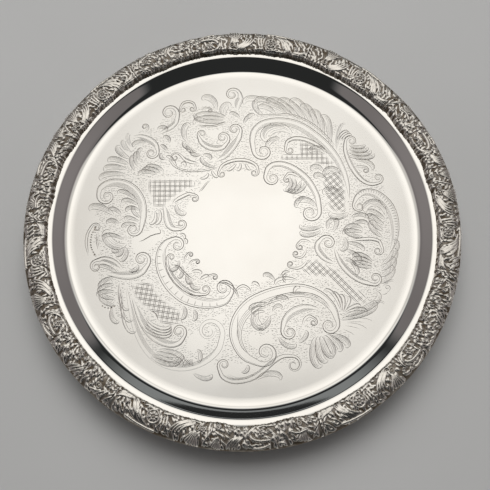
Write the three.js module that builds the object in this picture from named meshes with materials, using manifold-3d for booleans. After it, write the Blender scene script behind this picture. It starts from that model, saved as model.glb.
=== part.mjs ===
// A round silver salver, 12 inches across, on four cast scroll feet.
// Millimetres, +Z up. The origin is the centre of the plane that the feet stand on.
//
// The body is one spun sheet: a flat serving field, a curved booge that lifts to a flat band,
// and a flange that carries the border. The border is a ring of stamped sections soldered end
// to end, three each of two patterns and a short closing one. A plain wire stiffens the edge
// from below, and each foot is soldered through a thin patch that spreads its load.

import * as THREE from "three";
import { mergeVertices } from "three/addons/utils/BufferGeometryUtils.js";
import Module from "manifold-3d";

// ---- Driving dimensions -------------------------------------------------------------------

const RIM_RADIUS = 152.4; // the outer edge of the border
const SHEET = 1.2; // thickness of the spun sheet
const STAND = 20; // from the table to the underside of the field
const FIELD_TOP = STAND + SHEET;
const FIELD_FLAT = 119; // the field is dead flat out to here
const FIELD_RADIUS = 125.8; // where the booge starts
const BOOGE_RADIUS = 133.2; // where the booge ends and the flat band starts
const BOOGE_RISE = 7.4; // from the field up to the flat band
const BAND_RADIUS = 136.8; // the mean inner edge of the border
const BAND_RISE = 8; // from the field up to the band's outer side
const FLANGE_RADIUS = 149.8; // the sheet's own edge, hidden by the border
const FLANGE_RISE = 6.2;
const GAP = 0.3; // the solder line between pieces that touch

const SECTION_SPAN = 55.1; // degrees of one full border section
const FULL_SECTIONS = 6;
const CLOSING_SPAN = 360 - FULL_SECTIONS * SECTION_SPAN;
const FIRST_START = 68.9; // degrees, where the first full section starts
const ROSETTE_AT = 11.7; // degrees from a section's start to its large rosette

const WIRE_RADIUS = 1.3; // of the edge wire's round section
const WIRE_RING = 147.9; // radius of the edge wire's centre line

const FEET = 4;
const FOOT_RING = 112; // radius of the middle of each foot's flange
const FIRST_FOOT = 45; // degrees
const FLANGE_HALF = { x: 8.5, y: 7 }; // half axes of the oval flange on a foot
const PATCH_HALF = { x: 8.8, y: 11.5 }; // half axes of the oval patch over it
const PATCH_THICK = 1;
const LEG_WIDTH = 7; // across a foot's scroll leg
const TOE_RADIUS = 3.6; // of the scroll at a foot's toe
const TOE_AT = 10.5; // from the flange's middle outwards to the toe

const AROUND = 72; // facets in a full turn

// ---- Materials ----------------------------------------------------------------------------

const polished = new THREE.MeshStandardMaterial({ color: 0xf0ece2, roughness: 0.12, metalness: 1 });
const antique = new THREE.MeshStandardMaterial({ color: 0xc9c1b2, roughness: 0.3, metalness: 1 });
const plain = new THREE.MeshStandardMaterial({ color: 0xdedad0, roughness: 0.25, metalness: 1 });

// ---- Solids -------------------------------------------------------------------------------

const wasm = await Module();
wasm.setup();
const radians = THREE.MathUtils.degToRad;

// A closed three.js geometry as a manifold-3d solid.
function solid(geometry) {
  const bare = geometry.clone().deleteAttribute("normal").deleteAttribute("uv");
  const merged = mergeVertices(bare, 1e-4);
  return new wasm.Manifold(
    new wasm.Mesh({
      numProp: 3,
      vertProperties: merged.attributes.position.array,
      triVerts: new Uint32Array(merged.index.array),
    }),
  );
}

// A manifold-3d solid as a three.js geometry.
function geometryOf(made) {
  const mesh = made.getMesh();
  return new THREE.BufferGeometry()
    .setAttribute("position", new THREE.BufferAttribute(mesh.vertProperties, 3))
    .setIndex(new THREE.BufferAttribute(mesh.triVerts, 1));
}

// Turns a closed profile of [radius, height] points round +Z.
function turned(profile) {
  const points = profile.map(([radius, height]) => new THREE.Vector2(radius, height));
  return new THREE.LatheGeometry(points, AROUND).rotateX(Math.PI / 2);
}

// An outline in the X-Z plane, made solid from -width / 2 to +width / 2 along Y.
function slab(points, width) {
  const shape = new THREE.Shape(points.map(([x, z]) => new THREE.Vector2(x, z)));
  return new THREE.ExtrudeGeometry(shape, { depth: width, bevelEnabled: false })
    .rotateX(Math.PI / 2)
    .translate(0, width / 2, 0);
}

// A flat oval plate of the given half axes, from height low up to height high.
function ovalPlate(half, low, high) {
  const shape = new THREE.Shape().absellipse(0, 0, half.x, half.y, 0, 2 * Math.PI);
  const settings = { depth: high - low, bevelEnabled: false, curveSegments: 14 };
  return new THREE.ExtrudeGeometry(shape, settings).translate(0, 0, low);
}

function piece(name, geometry, material) {
  const mesh = new THREE.Mesh(geometry, material);
  mesh.name = name;
  return mesh;
}

// ---- The spun sheet -----------------------------------------------------------------------

// The top of the sheet from the axis to its edge. The booge is an S: its height follows a
// cosine from the field's edge to the band, so both of its ends run out level.
function sheetTop() {
  const points = [
    [0, FIELD_TOP],
    [FIELD_FLAT, FIELD_TOP],
  ];
  const steps = 8;
  for (let i = 0; i <= steps; i++) {
    const share = i / steps;
    const radius = THREE.MathUtils.lerp(FIELD_RADIUS, BOOGE_RADIUS, share);
    const lift = (BOOGE_RISE * (1 - Math.cos(Math.PI * share))) / 2;
    points.push([radius, FIELD_TOP + lift]);
  }
  points.push([BAND_RADIUS, FIELD_TOP + BAND_RISE]);
  points.push([FLANGE_RADIUS, FIELD_TOP + FLANGE_RISE]);
  return points;
}

// The same line moved down square to itself by the sheet's thickness.
function sheetUnderside(top) {
  return top.map(([radius, height], i) => {
    const before = top[Math.max(i - 1, 0)];
    const after = top[Math.min(i + 1, top.length - 1)];
    const slope = Math.atan2(after[1] - before[1], after[0] - before[0]);
    if (i === 0) return [0, height - SHEET];
    return [radius + SHEET * Math.sin(slope), height - SHEET * Math.cos(slope)];
  });
}

function plate() {
  const top = sheetTop();
  const profile = [...sheetUnderside(top), ...top.reverse()];
  return piece("plate", turned(profile), polished);
}

// ---- The border ---------------------------------------------------------------------------

// The inner edge follows the leaves: each lobe is a smooth hump towards the field (or away from
// it where its reach is negative). Angles are degrees from the section's large rosette.
const LOBES = {
  a: [
    { at: 1, wide: 3, reach: 0.5 },
    { at: 10, wide: 3, reach: 0.5 },
    { at: 34, wide: 4, reach: 1.4 },
    { at: 42.5, wide: 1.6, reach: -0.8 },
  ],
  b: [
    { at: 1, wide: 3, reach: 0.4 },
    { at: 17, wide: 3.4, reach: 1.2 },
    { at: 23, wide: 1.8, reach: -0.9 },
    { at: 36, wide: 3.6, reach: 1.3 },
    { at: 42.5, wide: 1.6, reach: -0.8 },
  ],
  closing: [
    { at: 1, wide: 3, reach: 0.5 },
    { at: 10, wide: 3, reach: 0.5 },
  ],
};

function innerRadius(pattern, fromRosette) {
  const hump = ({ at, wide, reach }) => reach * Math.exp(-(((fromRosette - at) / wide) ** 2));
  return LOBES[pattern].reduce((radius, lobe) => radius - hump(lobe), BAND_RADIUS);
}

// The whole ring's cross-section: a wall at the inner edge, a broad crowned face, and a lip that
// turns down over the sheet's edge. It starts further in than any lobe reaches.
const RING_INNER = BAND_RADIUS - 2.4;
const borderProfile = [
  [RING_INNER, BAND_RISE + GAP],
  [FLANGE_RADIUS + GAP, FLANGE_RISE + GAP],
  [FLANGE_RADIUS + GAP, 4.6],
  [151.9, 4.6],
  [RIM_RADIUS, 6.2],
  [151.7, 8.6],
  [149.4, 11],
  [146, 12.4],
  [142, 12.5],
  [138.8, 11.6],
  [136.8, 10.6],
  [RING_INNER, 10.2],
].map(([radius, height]) => [radius, FIELD_TOP + height]);
const borderRing = solid(turned([...borderProfile, borderProfile[0]]));

// One section of the border: the part of the ring inside an upright wall whose plan is a
// sector with a lobed inner edge and a straight cut at each end.
function borderSection(name, pattern, start, span) {
  const trim = THREE.MathUtils.radToDeg(GAP / 2 / RIM_RADIUS);
  const from = start + trim;
  const to = start + span - trim;
  const steps = Math.round(span / 2.3);
  const outline = [];
  for (let i = 0; i <= steps; i++) {
    const angle = THREE.MathUtils.lerp(from, to, i / steps);
    const radius = innerRadius(pattern, angle - start - ROSETTE_AT);
    outline.push([radius, angle]);
  }
  const outside = RIM_RADIUS + 8;
  for (const share of [1, 0.75, 0.5, 0.25, 0]) {
    outline.push([outside, THREE.MathUtils.lerp(from, to, share)]);
  }
  const points = outline.map(
    ([radius, angle]) =>
      new THREE.Vector2(radius * Math.cos(radians(angle)), radius * Math.sin(radians(angle))),
  );
  const wall = new THREE.ExtrudeGeometry(new THREE.Shape(points), {
    depth: FIELD_TOP + 20,
    bevelEnabled: false,
  });
  return piece(name, geometryOf(borderRing.intersect(solid(wall))), antique);
}

function border() {
  const ring = new THREE.Group();
  for (let i = 0; i < FULL_SECTIONS; i++) {
    const pattern = i % 2 ? "b" : "a";
    const name = `border_${pattern}_${Math.floor(i / 2) + 1}`;
    ring.add(borderSection(name, pattern, FIRST_START + i * SECTION_SPAN, SECTION_SPAN));
  }
  const closingStart = FIRST_START + FULL_SECTIONS * SECTION_SPAN;
  ring.add(borderSection("border_closing", "closing", closingStart, CLOSING_SPAN));
  return ring;
}

// ---- The edge wire ------------------------------------------------------------------------

// A round wire in the corner between the flange's underside and the border's lip.
function edgeWire() {
  const slope = (BAND_RISE - FLANGE_RISE) / (FLANGE_RADIUS - BAND_RADIUS);
  const flangeAbove = FLANGE_RISE + slope * (FLANGE_RADIUS - WIRE_RING);
  const middle = FIELD_TOP + flangeAbove - SHEET - GAP - WIRE_RADIUS - 0.05;
  const sides = 8;
  const profile = [];
  for (let i = 0; i <= sides; i++) {
    const turn = (2 * Math.PI * (i % sides)) / sides;
    profile.push([WIRE_RING + WIRE_RADIUS * Math.cos(turn), middle + WIRE_RADIUS * Math.sin(turn)]);
  }
  return piece("edge_wire", turned(profile), plain);
}

// ---- The feet -----------------------------------------------------------------------------

const PATCH_TOP = STAND - GAP;
const FOOT_TOP = PATCH_TOP - PATCH_THICK - GAP;

// A foot stands in its own frame: X outwards from the salver's middle, Z up from the table.
// Its leg is a band that follows an S from under the flange, out over the knee and down to the
// toe, thick at the knee and thin at the ankle.
function scrollLeg() {
  const spine = new THREE.CatmullRomCurve3([
    new THREE.Vector3(-5, 0, FOOT_TOP - 1.5),
    new THREE.Vector3(2.5, 0, FOOT_TOP - 2.6),
    new THREE.Vector3(5.4, 0, FOOT_TOP - 7),
    new THREE.Vector3(4.6, 0, FOOT_TOP - 11.5),
    new THREE.Vector3(6.2, 0, 3.6),
    new THREE.Vector3(TOE_AT, 0, 2.6),
  ]);
  const steps = 16;
  const outer = [];
  const inner = [];
  for (let i = 0; i <= steps; i++) {
    const share = i / steps;
    const at = spine.getPoint(share);
    const along = spine.getTangent(share);
    const half = 1.5 + 1.4 * Math.sin(Math.PI * share) ** 2 * (1 - 0.6 * share);
    outer.push([at.x - along.z * half, at.z + along.x * half]);
    inner.push([at.x + along.z * half, at.z - along.x * half]);
  }
  return solid(slab([...outer, ...inner.reverse()], LEG_WIDTH));
}

// The toe: a scroll lying across the foot, worn flat where it meets the table.
function toe() {
  const roll = new THREE.CylinderGeometry(TOE_RADIUS, TOE_RADIUS, LEG_WIDTH + 1.6, 20);
  const pad = new THREE.BoxGeometry(6.4, LEG_WIDTH + 1.6, 1.6);
  return solid(roll.translate(TOE_AT, 0, TOE_RADIUS + 0.2))
    .add(solid(pad.translate(TOE_AT, 0, 0.8)));
}

// A palmette on the face of the knee: a fan outline with one round end to each of its lobes.
function kneePalmette() {
  const lobes = 7;
  const steps = lobes * 5;
  const spread = radians(104);
  const points = [new THREE.Vector2(0, -9.5)];
  for (let i = 0; i <= steps; i++) {
    const share = i / steps;
    const angle = Math.PI / 2 + spread * (0.5 - share);
    const scallop = 9.3 + 1.1 * Math.abs(Math.sin(Math.PI * lobes * share));
    points.push(new THREE.Vector2(scallop * Math.cos(angle), scallop * Math.sin(angle) - 4.5));
  }
  const shape = new THREE.Shape(points.reverse());
  const fan = new THREE.ExtrudeGeometry(shape, { depth: 2.2, bevelEnabled: false });
  return solid(
    fan
      .rotateX(Math.PI / 2)
      .rotateZ(Math.PI / 2)
      .rotateY(radians(-10))
      .translate(6.1, 0, FOOT_TOP - 6.2),
  );
}

function foot(index) {
  const flange = solid(ovalPlate(FLANGE_HALF, FOOT_TOP - 1.6, FOOT_TOP));
  const cast = flange.add(scrollLeg()).add(toe()).add(kneePalmette());
  const made = piece(`foot_${index + 1}`, geometryOf(cast), antique);
  const patch = piece(
    `foot_patch_${index + 1}`,
    ovalPlate(PATCH_HALF, PATCH_TOP - PATCH_THICK, PATCH_TOP),
    plain,
  );
  for (const mesh of [made, patch]) mesh.position.x = FOOT_RING;
  const turnedFoot = new THREE.Group();
  turnedFoot.add(made, patch);
  turnedFoot.rotation.z = radians(FIRST_FOOT + (index * 360) / FEET);
  return turnedFoot;
}

// ---- The salver ---------------------------------------------------------------------------

const salver = new THREE.Group();
salver.add(plate(), border(), edgeWire());
for (let i = 0; i < FEET; i++) salver.add(foot(i));

export default salver;
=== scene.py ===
"""Looks for a round silver salver on four scroll feet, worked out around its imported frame.

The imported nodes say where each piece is. The classes below make the finished surface of each
piece from its sizes in millimetres, and the finishes dress them.
"""

import logging
import math
from dataclasses import dataclass, field
from enum import Enum
from typing import Callable, Sequence

import bpy
import numpy as np
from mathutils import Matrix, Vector
from mathutils.geometry import delaunay_2d_cdt


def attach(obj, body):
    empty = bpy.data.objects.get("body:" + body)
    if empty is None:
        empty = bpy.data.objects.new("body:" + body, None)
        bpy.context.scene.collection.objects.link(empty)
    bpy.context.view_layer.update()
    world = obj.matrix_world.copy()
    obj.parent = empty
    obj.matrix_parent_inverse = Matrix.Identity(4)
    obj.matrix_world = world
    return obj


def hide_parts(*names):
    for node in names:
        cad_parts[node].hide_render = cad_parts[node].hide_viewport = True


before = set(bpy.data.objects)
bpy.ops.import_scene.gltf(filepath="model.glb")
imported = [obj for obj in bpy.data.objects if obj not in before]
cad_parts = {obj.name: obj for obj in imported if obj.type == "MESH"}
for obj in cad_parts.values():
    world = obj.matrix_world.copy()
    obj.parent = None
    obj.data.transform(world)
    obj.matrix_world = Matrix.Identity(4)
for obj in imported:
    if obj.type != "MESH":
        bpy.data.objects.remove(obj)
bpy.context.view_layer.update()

MM = 0.001
BODY = "root"
TURN = 2 * math.pi
Array = np.ndarray
Pair = tuple[float, float]

log = logging.getLogger("salver")


# ---- Material nodes ----


class Wire:
    """One output of a node, with Python's operators as its maths."""

    def __init__(self, graph: "Graph", node: bpy.types.Node, output: int | str = 0) -> None:
        """Hold an output, by its number or its name, of a node in a graph."""
        self.graph = graph
        self.node = node
        self.output = output

    def other(self, output: int | str) -> "Wire":
        """Return another output of the same node."""
        return Wire(self.graph, self.node, output)

    def math(self, operation: str, *others: "Wire | float", clamp: bool = False) -> "Wire":
        """Put this value first into a Math node.

        Args:
            operation: The Math node's operation.
            others: The node's other inputs, in order.
            clamp: Whether the result is held between 0 and 1.

        Returns:
            The node's result.
        """
        inputs = dict(enumerate((self, *others)))
        settings = {"operation": operation, "use_clamp": clamp}
        return self.graph.add("ShaderNodeMath", settings, inputs)

    def __add__(self, other: "Wire | float") -> "Wire":
        """Sum."""
        return self.math("ADD", other)

    __radd__ = __add__

    def __mul__(self, other: "Wire | float") -> "Wire":
        """Product."""
        return self.math("MULTIPLY", other)

    __rmul__ = __mul__

    def __sub__(self, other: "Wire | float") -> "Wire":
        """Difference."""
        return self.math("SUBTRACT", other)

    def __rsub__(self, other: float) -> "Wire":
        """A number less this value."""
        return self * -1.0 + other

    def ramp(self, low: float, high: float) -> "Wire":
        """Ease from 0 where the value is low to 1 where it is high.

        Args:
            low: The value that gives 0.
            high: The value that gives 1; it may be under low.

        Returns:
            The eased value, held between 0 and 1.
        """
        settings = {"interpolation_type": "SMOOTHSTEP"}
        inputs = {"Value": self, "From Min": low, "From Max": high}
        return self.graph.add("ShaderNodeMapRange", settings, inputs)


class Graph:
    """The node tree of one material, or of the world."""

    def __init__(self, owner: bpy.types.Material | bpy.types.World) -> None:
        """Clear the nodes of a material or of the world, and start again."""
        owner.use_nodes = True
        self.tree = owner.node_tree
        self.tree.nodes.clear()

    def add(self, kind: str, settings: dict, inputs: dict) -> Wire:
        """Make any node.

        Args:
            kind: The node's type.
            settings: The node's own properties, which are set first.
            inputs: A value or a Wire for each input, by its number or its name.

        Returns:
            The node's first output.
        """
        node = self.tree.nodes.new(kind)
        for key, value in settings.items():
            setattr(node, key, value)
        for key, value in inputs.items():
            if isinstance(value, Wire):
                self.tree.links.new(value.node.outputs[value.output], node.inputs[key])
            else:
                node.inputs[key].default_value = value
        return Wire(self, node)

    def coordinates(self) -> Wire:
        """Return the Object coordinates."""
        return self.add("ShaderNodeTexCoord", {}, {}).other("Object")

    def noise(self, scale: float, detail: float = 3.0, where: Wire | None = None) -> Wire:
        """Return a soft noise from 0 to 1.

        Args:
            scale: Lumps per metre.
            detail: Octaves.
            where: The coordinates, or None for the Object coordinates.

        Returns:
            The noise.
        """
        inputs = {"Vector": where or self.coordinates(), "Scale": scale, "Detail": detail}
        return self.add("ShaderNodeTexNoise", {}, inputs)

    def attribute(self, name: str) -> Wire:
        """Return a number that the mesh carries at its points."""
        return self.add("ShaderNodeAttribute", {"attribute_name": name}, {}).other("Fac")

    def blend(self, share: Wire, first: tuple | Wire, second: tuple | Wire) -> Wire:
        """Mix two colours.

        Args:
            share: How much of the second colour, from 0 to 1.
            first: The colour at 0.
            second: The colour at 1.

        Returns:
            The mixed colour.
        """
        first = first if isinstance(first, Wire) else (*first, 1.0)
        second = second if isinstance(second, Wire) else (*second, 1.0)
        inputs = {0: share, 6: first, 7: second}
        return self.add("ShaderNodeMix", {"data_type": "RGBA"}, inputs).other(2)


@dataclass(frozen=True)
class Silver:
    """A silver finish: how bright it is, how rough, and what lies in its hollows."""

    name: str  # the material's name
    bright: tuple[float, float, float]  # colour of the clean metal
    tarnish: tuple[float, float, float]  # colour of the film left in hollows
    roughness: float  # of the clean metal
    haze: float = 0.03  # how much the roughness wanders over the surface
    hollow: str = ""  # name of the mesh's attribute that is 1 in a hollow, or "" for none
    film: float = 0.8  # how far the film hides the metal in the deepest hollow
    spread: float = 1.0  # power that the hollow's depth is raised to: more keeps the film to the bottom
    dull: float = 0.4  # roughness in a hollow
    scratch: float = 0.0  # depth in metres of the fine hairlines, or 0 for none
    mirror: str = ""  # name of the mesh's attribute that is 1 where the polish is a mirror's, or ""

    def make(self) -> bpy.types.Material:
        """Build the material.

        Returns:
            The material, with its patterns on the Object coordinates.
        """
        material = bpy.data.materials.new(self.name)
        graph = Graph(material)
        cloud = graph.noise(22.0, 4.0)
        grain = graph.noise(900.0, 2.0)
        rough = cloud.ramp(0.3, 0.7) * self.haze + grain * (self.haze * 0.5) + self.roughness
        breath = cloud.ramp(0.35, 0.75) * 0.06
        colour = graph.blend(breath, self.bright, self.tarnish)
        if self.hollow:
            depth = graph.attribute(self.hollow)
            patches = graph.noise(160.0, 3.0).ramp(0.2, 0.7) * 0.5 + 0.6
            patchy = depth.math("POWER", self.spread) * patches
            film = patchy.math("MULTIPLY", self.film, clamp=True)
            colour = graph.blend(film, colour, self.tarnish)
            rough = rough + film * (self.dull - self.roughness)
        if self.mirror:
            rough = rough * (1.0 - graph.attribute(self.mirror) * 0.78)
        inputs = {"Base Color": colour, "Roughness": rough, "Metallic": 1.0}
        if self.scratch:
            inputs["Normal"] = self._hairlines(graph)
        shader = graph.add("ShaderNodeBsdfPrincipled", {}, inputs)
        graph.add("ShaderNodeOutputMaterial", {}, {"Surface": shader})
        return material

    def _hairlines(self, graph: Graph) -> Wire:
        """Return a normal bent by crossing hairlines left by polishing cloths."""
        height: Wire | None = None
        for angle in (0.3, 1.4, 2.5):
            inputs = {"Vector": graph.coordinates(), "Rotation": (0, 0, angle), "Scale": (30, 1, 1)}
            placed = graph.add("ShaderNodeMapping", {"vector_type": "TEXTURE"}, inputs)
            line = graph.noise(1400.0, 2.0, placed)
            height = line if height is None else height + line
        inputs = {"Height": height, "Distance": self.scratch, "Strength": 1.0}
        return graph.add("ShaderNodeBump", {}, inputs)


ENGRAVED = Silver(
    "polished_plate", bright=(0.965, 0.94, 0.885), tarnish=(0.42, 0.31, 0.20), roughness=0.11,
    hollow="cut", film=0.6, dull=0.42, scratch=0.0000012, mirror="mirror",
)
STAMPED = Silver(
    "stamped_border", bright=(0.97, 0.925, 0.845), tarnish=(0.215, 0.17, 0.12), roughness=0.2,
    haze=0.06, hollow="hollow", film=0.93, spread=1.9, dull=0.5,
)
CAST = Silver(
    "cast_feet", bright=(0.95, 0.915, 0.85), tarnish=(0.27, 0.205, 0.135), roughness=0.2,
    haze=0.08, hollow="hollow", film=0.85, dull=0.5,
)
DRAWN = Silver(
    "drawn_wire_and_patches", bright=(0.94, 0.91, 0.85), tarnish=(0.27, 0.205, 0.135),
    roughness=0.22, haze=0.1,
)


# ---- Meshes ----


def add_object(name: str, data: bpy.types.ID) -> bpy.types.Object:
    """Return a new object in the scene that shows the data."""
    made = bpy.data.objects.new(name, data)
    bpy.context.scene.collection.objects.link(made)
    return made


def lengths(path: Array) -> Array:
    """Return how far along a path of points each of them lies."""
    return np.concatenate([[0], np.cumsum(np.hypot(*np.diff(path, axis=0).T))])


def angles(count: int) -> Array:
    """Return evenly spaced angles round one turn, in radians."""
    return np.linspace(0, TURN, count, endpoint=False)


def round_axis(radius: Array, angle: Array, height: Array) -> Array:
    """Return the places at given distances from the upright axis, angles round it and heights."""
    radius, angle, height = np.broadcast_arrays(radius, angle, height)
    return np.stack([radius * np.cos(angle), radius * np.sin(angle), height], axis=-1)


@dataclass
class Shell:
    """A closed surface on its way into a mesh, in millimetres."""

    points: Array  # corner places, one row each
    faces: list[Array]  # arrays of corner numbers; each array's rows have the same count of corners
    smooth: list[bool]  # for each of those arrays, whether its faces are shaded smooth
    marks: dict[str, Array] = field(default_factory=dict)  # what each point carries, by attribute
    maps: list[Array] = field(default_factory=list)  # for each array, its corners on a flat map

    def joined(self, other: "Shell") -> "Shell":
        """Return this surface and another as one, side by side."""
        start = len(self.points)
        marks = {key: np.concatenate([self.marks[key], other.marks[key]]) for key in self.marks}
        return Shell(
            np.concatenate([self.points, other.points]),
            self.faces + [rows + start for rows in other.faces],
            self.smooth + other.smooth,
            marks,
        )

    def stood(self, out: float, angle: float) -> "Shell":
        """Return the surface moved along x, and then turned about the upright axis.

        Args:
            out: How far it is moved.
            angle: How far it is turned, in radians.

        Returns:
            The surface in its new place.
        """
        x, y, z = self.points.T
        x = x + out
        cos, sin = math.cos(angle), math.sin(angle)
        points = np.stack([x * cos - y * sin, x * sin + y * cos, z], axis=1)
        return Shell(points, self.faces, self.smooth, self.marks)

    def piece(self, name: str) -> bpy.types.Object:
        """Make the surface a Blender object in metres, at the origin.

        Args:
            name: The object's name.

        Returns:
            The object, linked into the scene.
        """
        mesh = bpy.data.meshes.new(name)
        mesh.vertices.add(len(self.points))
        mesh.vertices.foreach_set("co", (self.points * MM).astype(np.float32).ravel())
        counts = np.concatenate([np.full(len(rows), rows.shape[1]) for rows in self.faces])
        corners = np.concatenate([rows.ravel() for rows in self.faces])
        mesh.loops.add(len(corners))
        mesh.loops.foreach_set("vertex_index", corners.astype(np.int32))
        mesh.polygons.add(len(counts))
        starts = np.concatenate([[0], np.cumsum(counts)[:-1]])
        mesh.polygons.foreach_set("loop_start", starts.astype(np.int32))
        flags = [np.full(len(rows), soft) for rows, soft in zip(self.faces, self.smooth)]
        mesh.update(calc_edges=True)
        mesh.polygons.foreach_set("use_smooth", np.concatenate(flags))
        for key, values in self.marks.items():
            layer = mesh.attributes.new(key, "FLOAT", "POINT")
            layer.data.foreach_set("value", values.astype(np.float32))
        if self.maps:
            flat = np.concatenate([places.reshape(-1, 2) for places in self.maps])
            mesh.uv_layers.new(name="OFBake").uv.foreach_set("vector", flat.astype(np.float32).ravel())
        mesh.update()
        return add_object(name, mesh)


def grid_faces(rows: int, columns: int, wrap_rows: bool = False) -> Array:
    """Number the four corners of each cell of a grid of points held row by row.

    The last column meets the first.

    Args:
        rows: Rows of points.
        columns: Points in a row.
        wrap_rows: Whether the last row meets the first too.

    Returns:
        One row of four numbers for each cell.
    """
    i = np.arange(rows if wrap_rows else rows - 1)[:, None]
    j = np.arange(columns)[None, :]
    down, right = (i + 1) % rows, (j + 1) % columns
    corners = [i * columns + j, i * columns + right, down * columns + right, down * columns + j]
    return np.stack([np.broadcast_to(c, (len(i), j.shape[1])) for c in corners], axis=-1).reshape(-1, 4)


def loft(rings: Array, marks: Array | None = None) -> Shell:
    """Skin a row of rings of points, and close both ends with a flat face.

    The faces are turned outwards, by the sign of the volume that the skin encloses.

    Args:
        rings: Rings, points of a ring, and places.
        marks: How hollow each point is, or None where nothing is.

    Returns:
        The closed surface.
    """
    rows, columns = rings.shape[:2]
    first = np.arange(columns)[None, ::-1]
    last = np.arange(columns)[None, :] + (rows - 1) * columns
    hollow = np.zeros(rows * columns) if marks is None else np.clip(marks, 0, 1).ravel()
    points = rings.reshape(-1, 3)
    faces = [grid_faces(rows, columns), first, last]
    corners = (points - points.mean(axis=0))[faces[0]]
    facing = np.cross(corners[:, 2] - corners[:, 0], corners[:, 3] - corners[:, 1])
    if (corners.mean(axis=1) * facing).sum() < 0:
        faces = [numbers[:, ::-1] for numbers in faces]
    return Shell(points, faces, [True, False, False], {"hollow": hollow})


def finish_piece(made: bpy.types.Object, material: bpy.types.Material, slot: str, *nodes: str) -> None:
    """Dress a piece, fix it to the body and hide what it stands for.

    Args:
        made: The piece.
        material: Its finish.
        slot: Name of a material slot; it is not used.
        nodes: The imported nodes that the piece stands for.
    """
    made.data.materials.append(material)
    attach(made, BODY)
    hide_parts(*nodes)
    log.info("%s: %d faces", made.name, len(made.data.polygons))


# ---- The engraving ----


def smooth_path(stations: Array, count: int) -> Array:
    """Return evenly numbered points on the Bezier curve with the given control points.

    The curve is the Bernstein sum of its n + 1 controls: each is weighted by
    C(n, k) * t ** k * (1 - t) ** (n - k).
    """
    n = len(stations) - 1
    t = np.linspace(0, 1, count)[:, None]
    k = np.arange(n + 1)[None, :]
    choose = np.array([math.comb(n, i) for i in range(n + 1)])
    return (choose * t**k * (1 - t) ** (n - k)) @ np.asarray(stations, float)


def through(stations: Sequence, pace: float = 0.25) -> Array:
    """Return close points on a smooth curve that passes through every station.

    Between two stations it is the cubic that has, at each, the mean slope of the chords on
    either side of it.

    Args:
        stations: Places that it passes through, in order.
        pace: Distance between the points.

    Returns:
        The points, one row each.
    """
    knots = np.asarray(stations, float)
    reach = lengths(knots)
    slope = np.gradient(knots, reach, axis=0)
    at = np.linspace(0, reach[-1], max(4, int(reach[-1] / pace)))
    k = np.clip(np.searchsorted(reach, at, side="right") - 1, 0, len(knots) - 2)
    span = (reach[k + 1] - reach[k])[:, None]
    u = (at - reach[k])[:, None] / span
    start = (2 * u**3 - 3 * u**2 + 1) * knots[k] + (u**3 - 2 * u**2 + u) * span * slope[k]
    return start + (3 * u**2 - 2 * u**3) * knots[k + 1] + (u**3 - u**2) * span * slope[k + 1]


def beside(path: Array, distance: Array | float) -> Array:
    """Return the points a distance to the left of a path, or to its right where it is negative."""
    ahead = np.gradient(path, axis=0)
    left = np.stack([-ahead[:, 1], ahead[:, 0]], axis=1) / np.hypot(*ahead.T)[:, None]
    return path + left * np.reshape(distance, (-1, 1))


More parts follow.
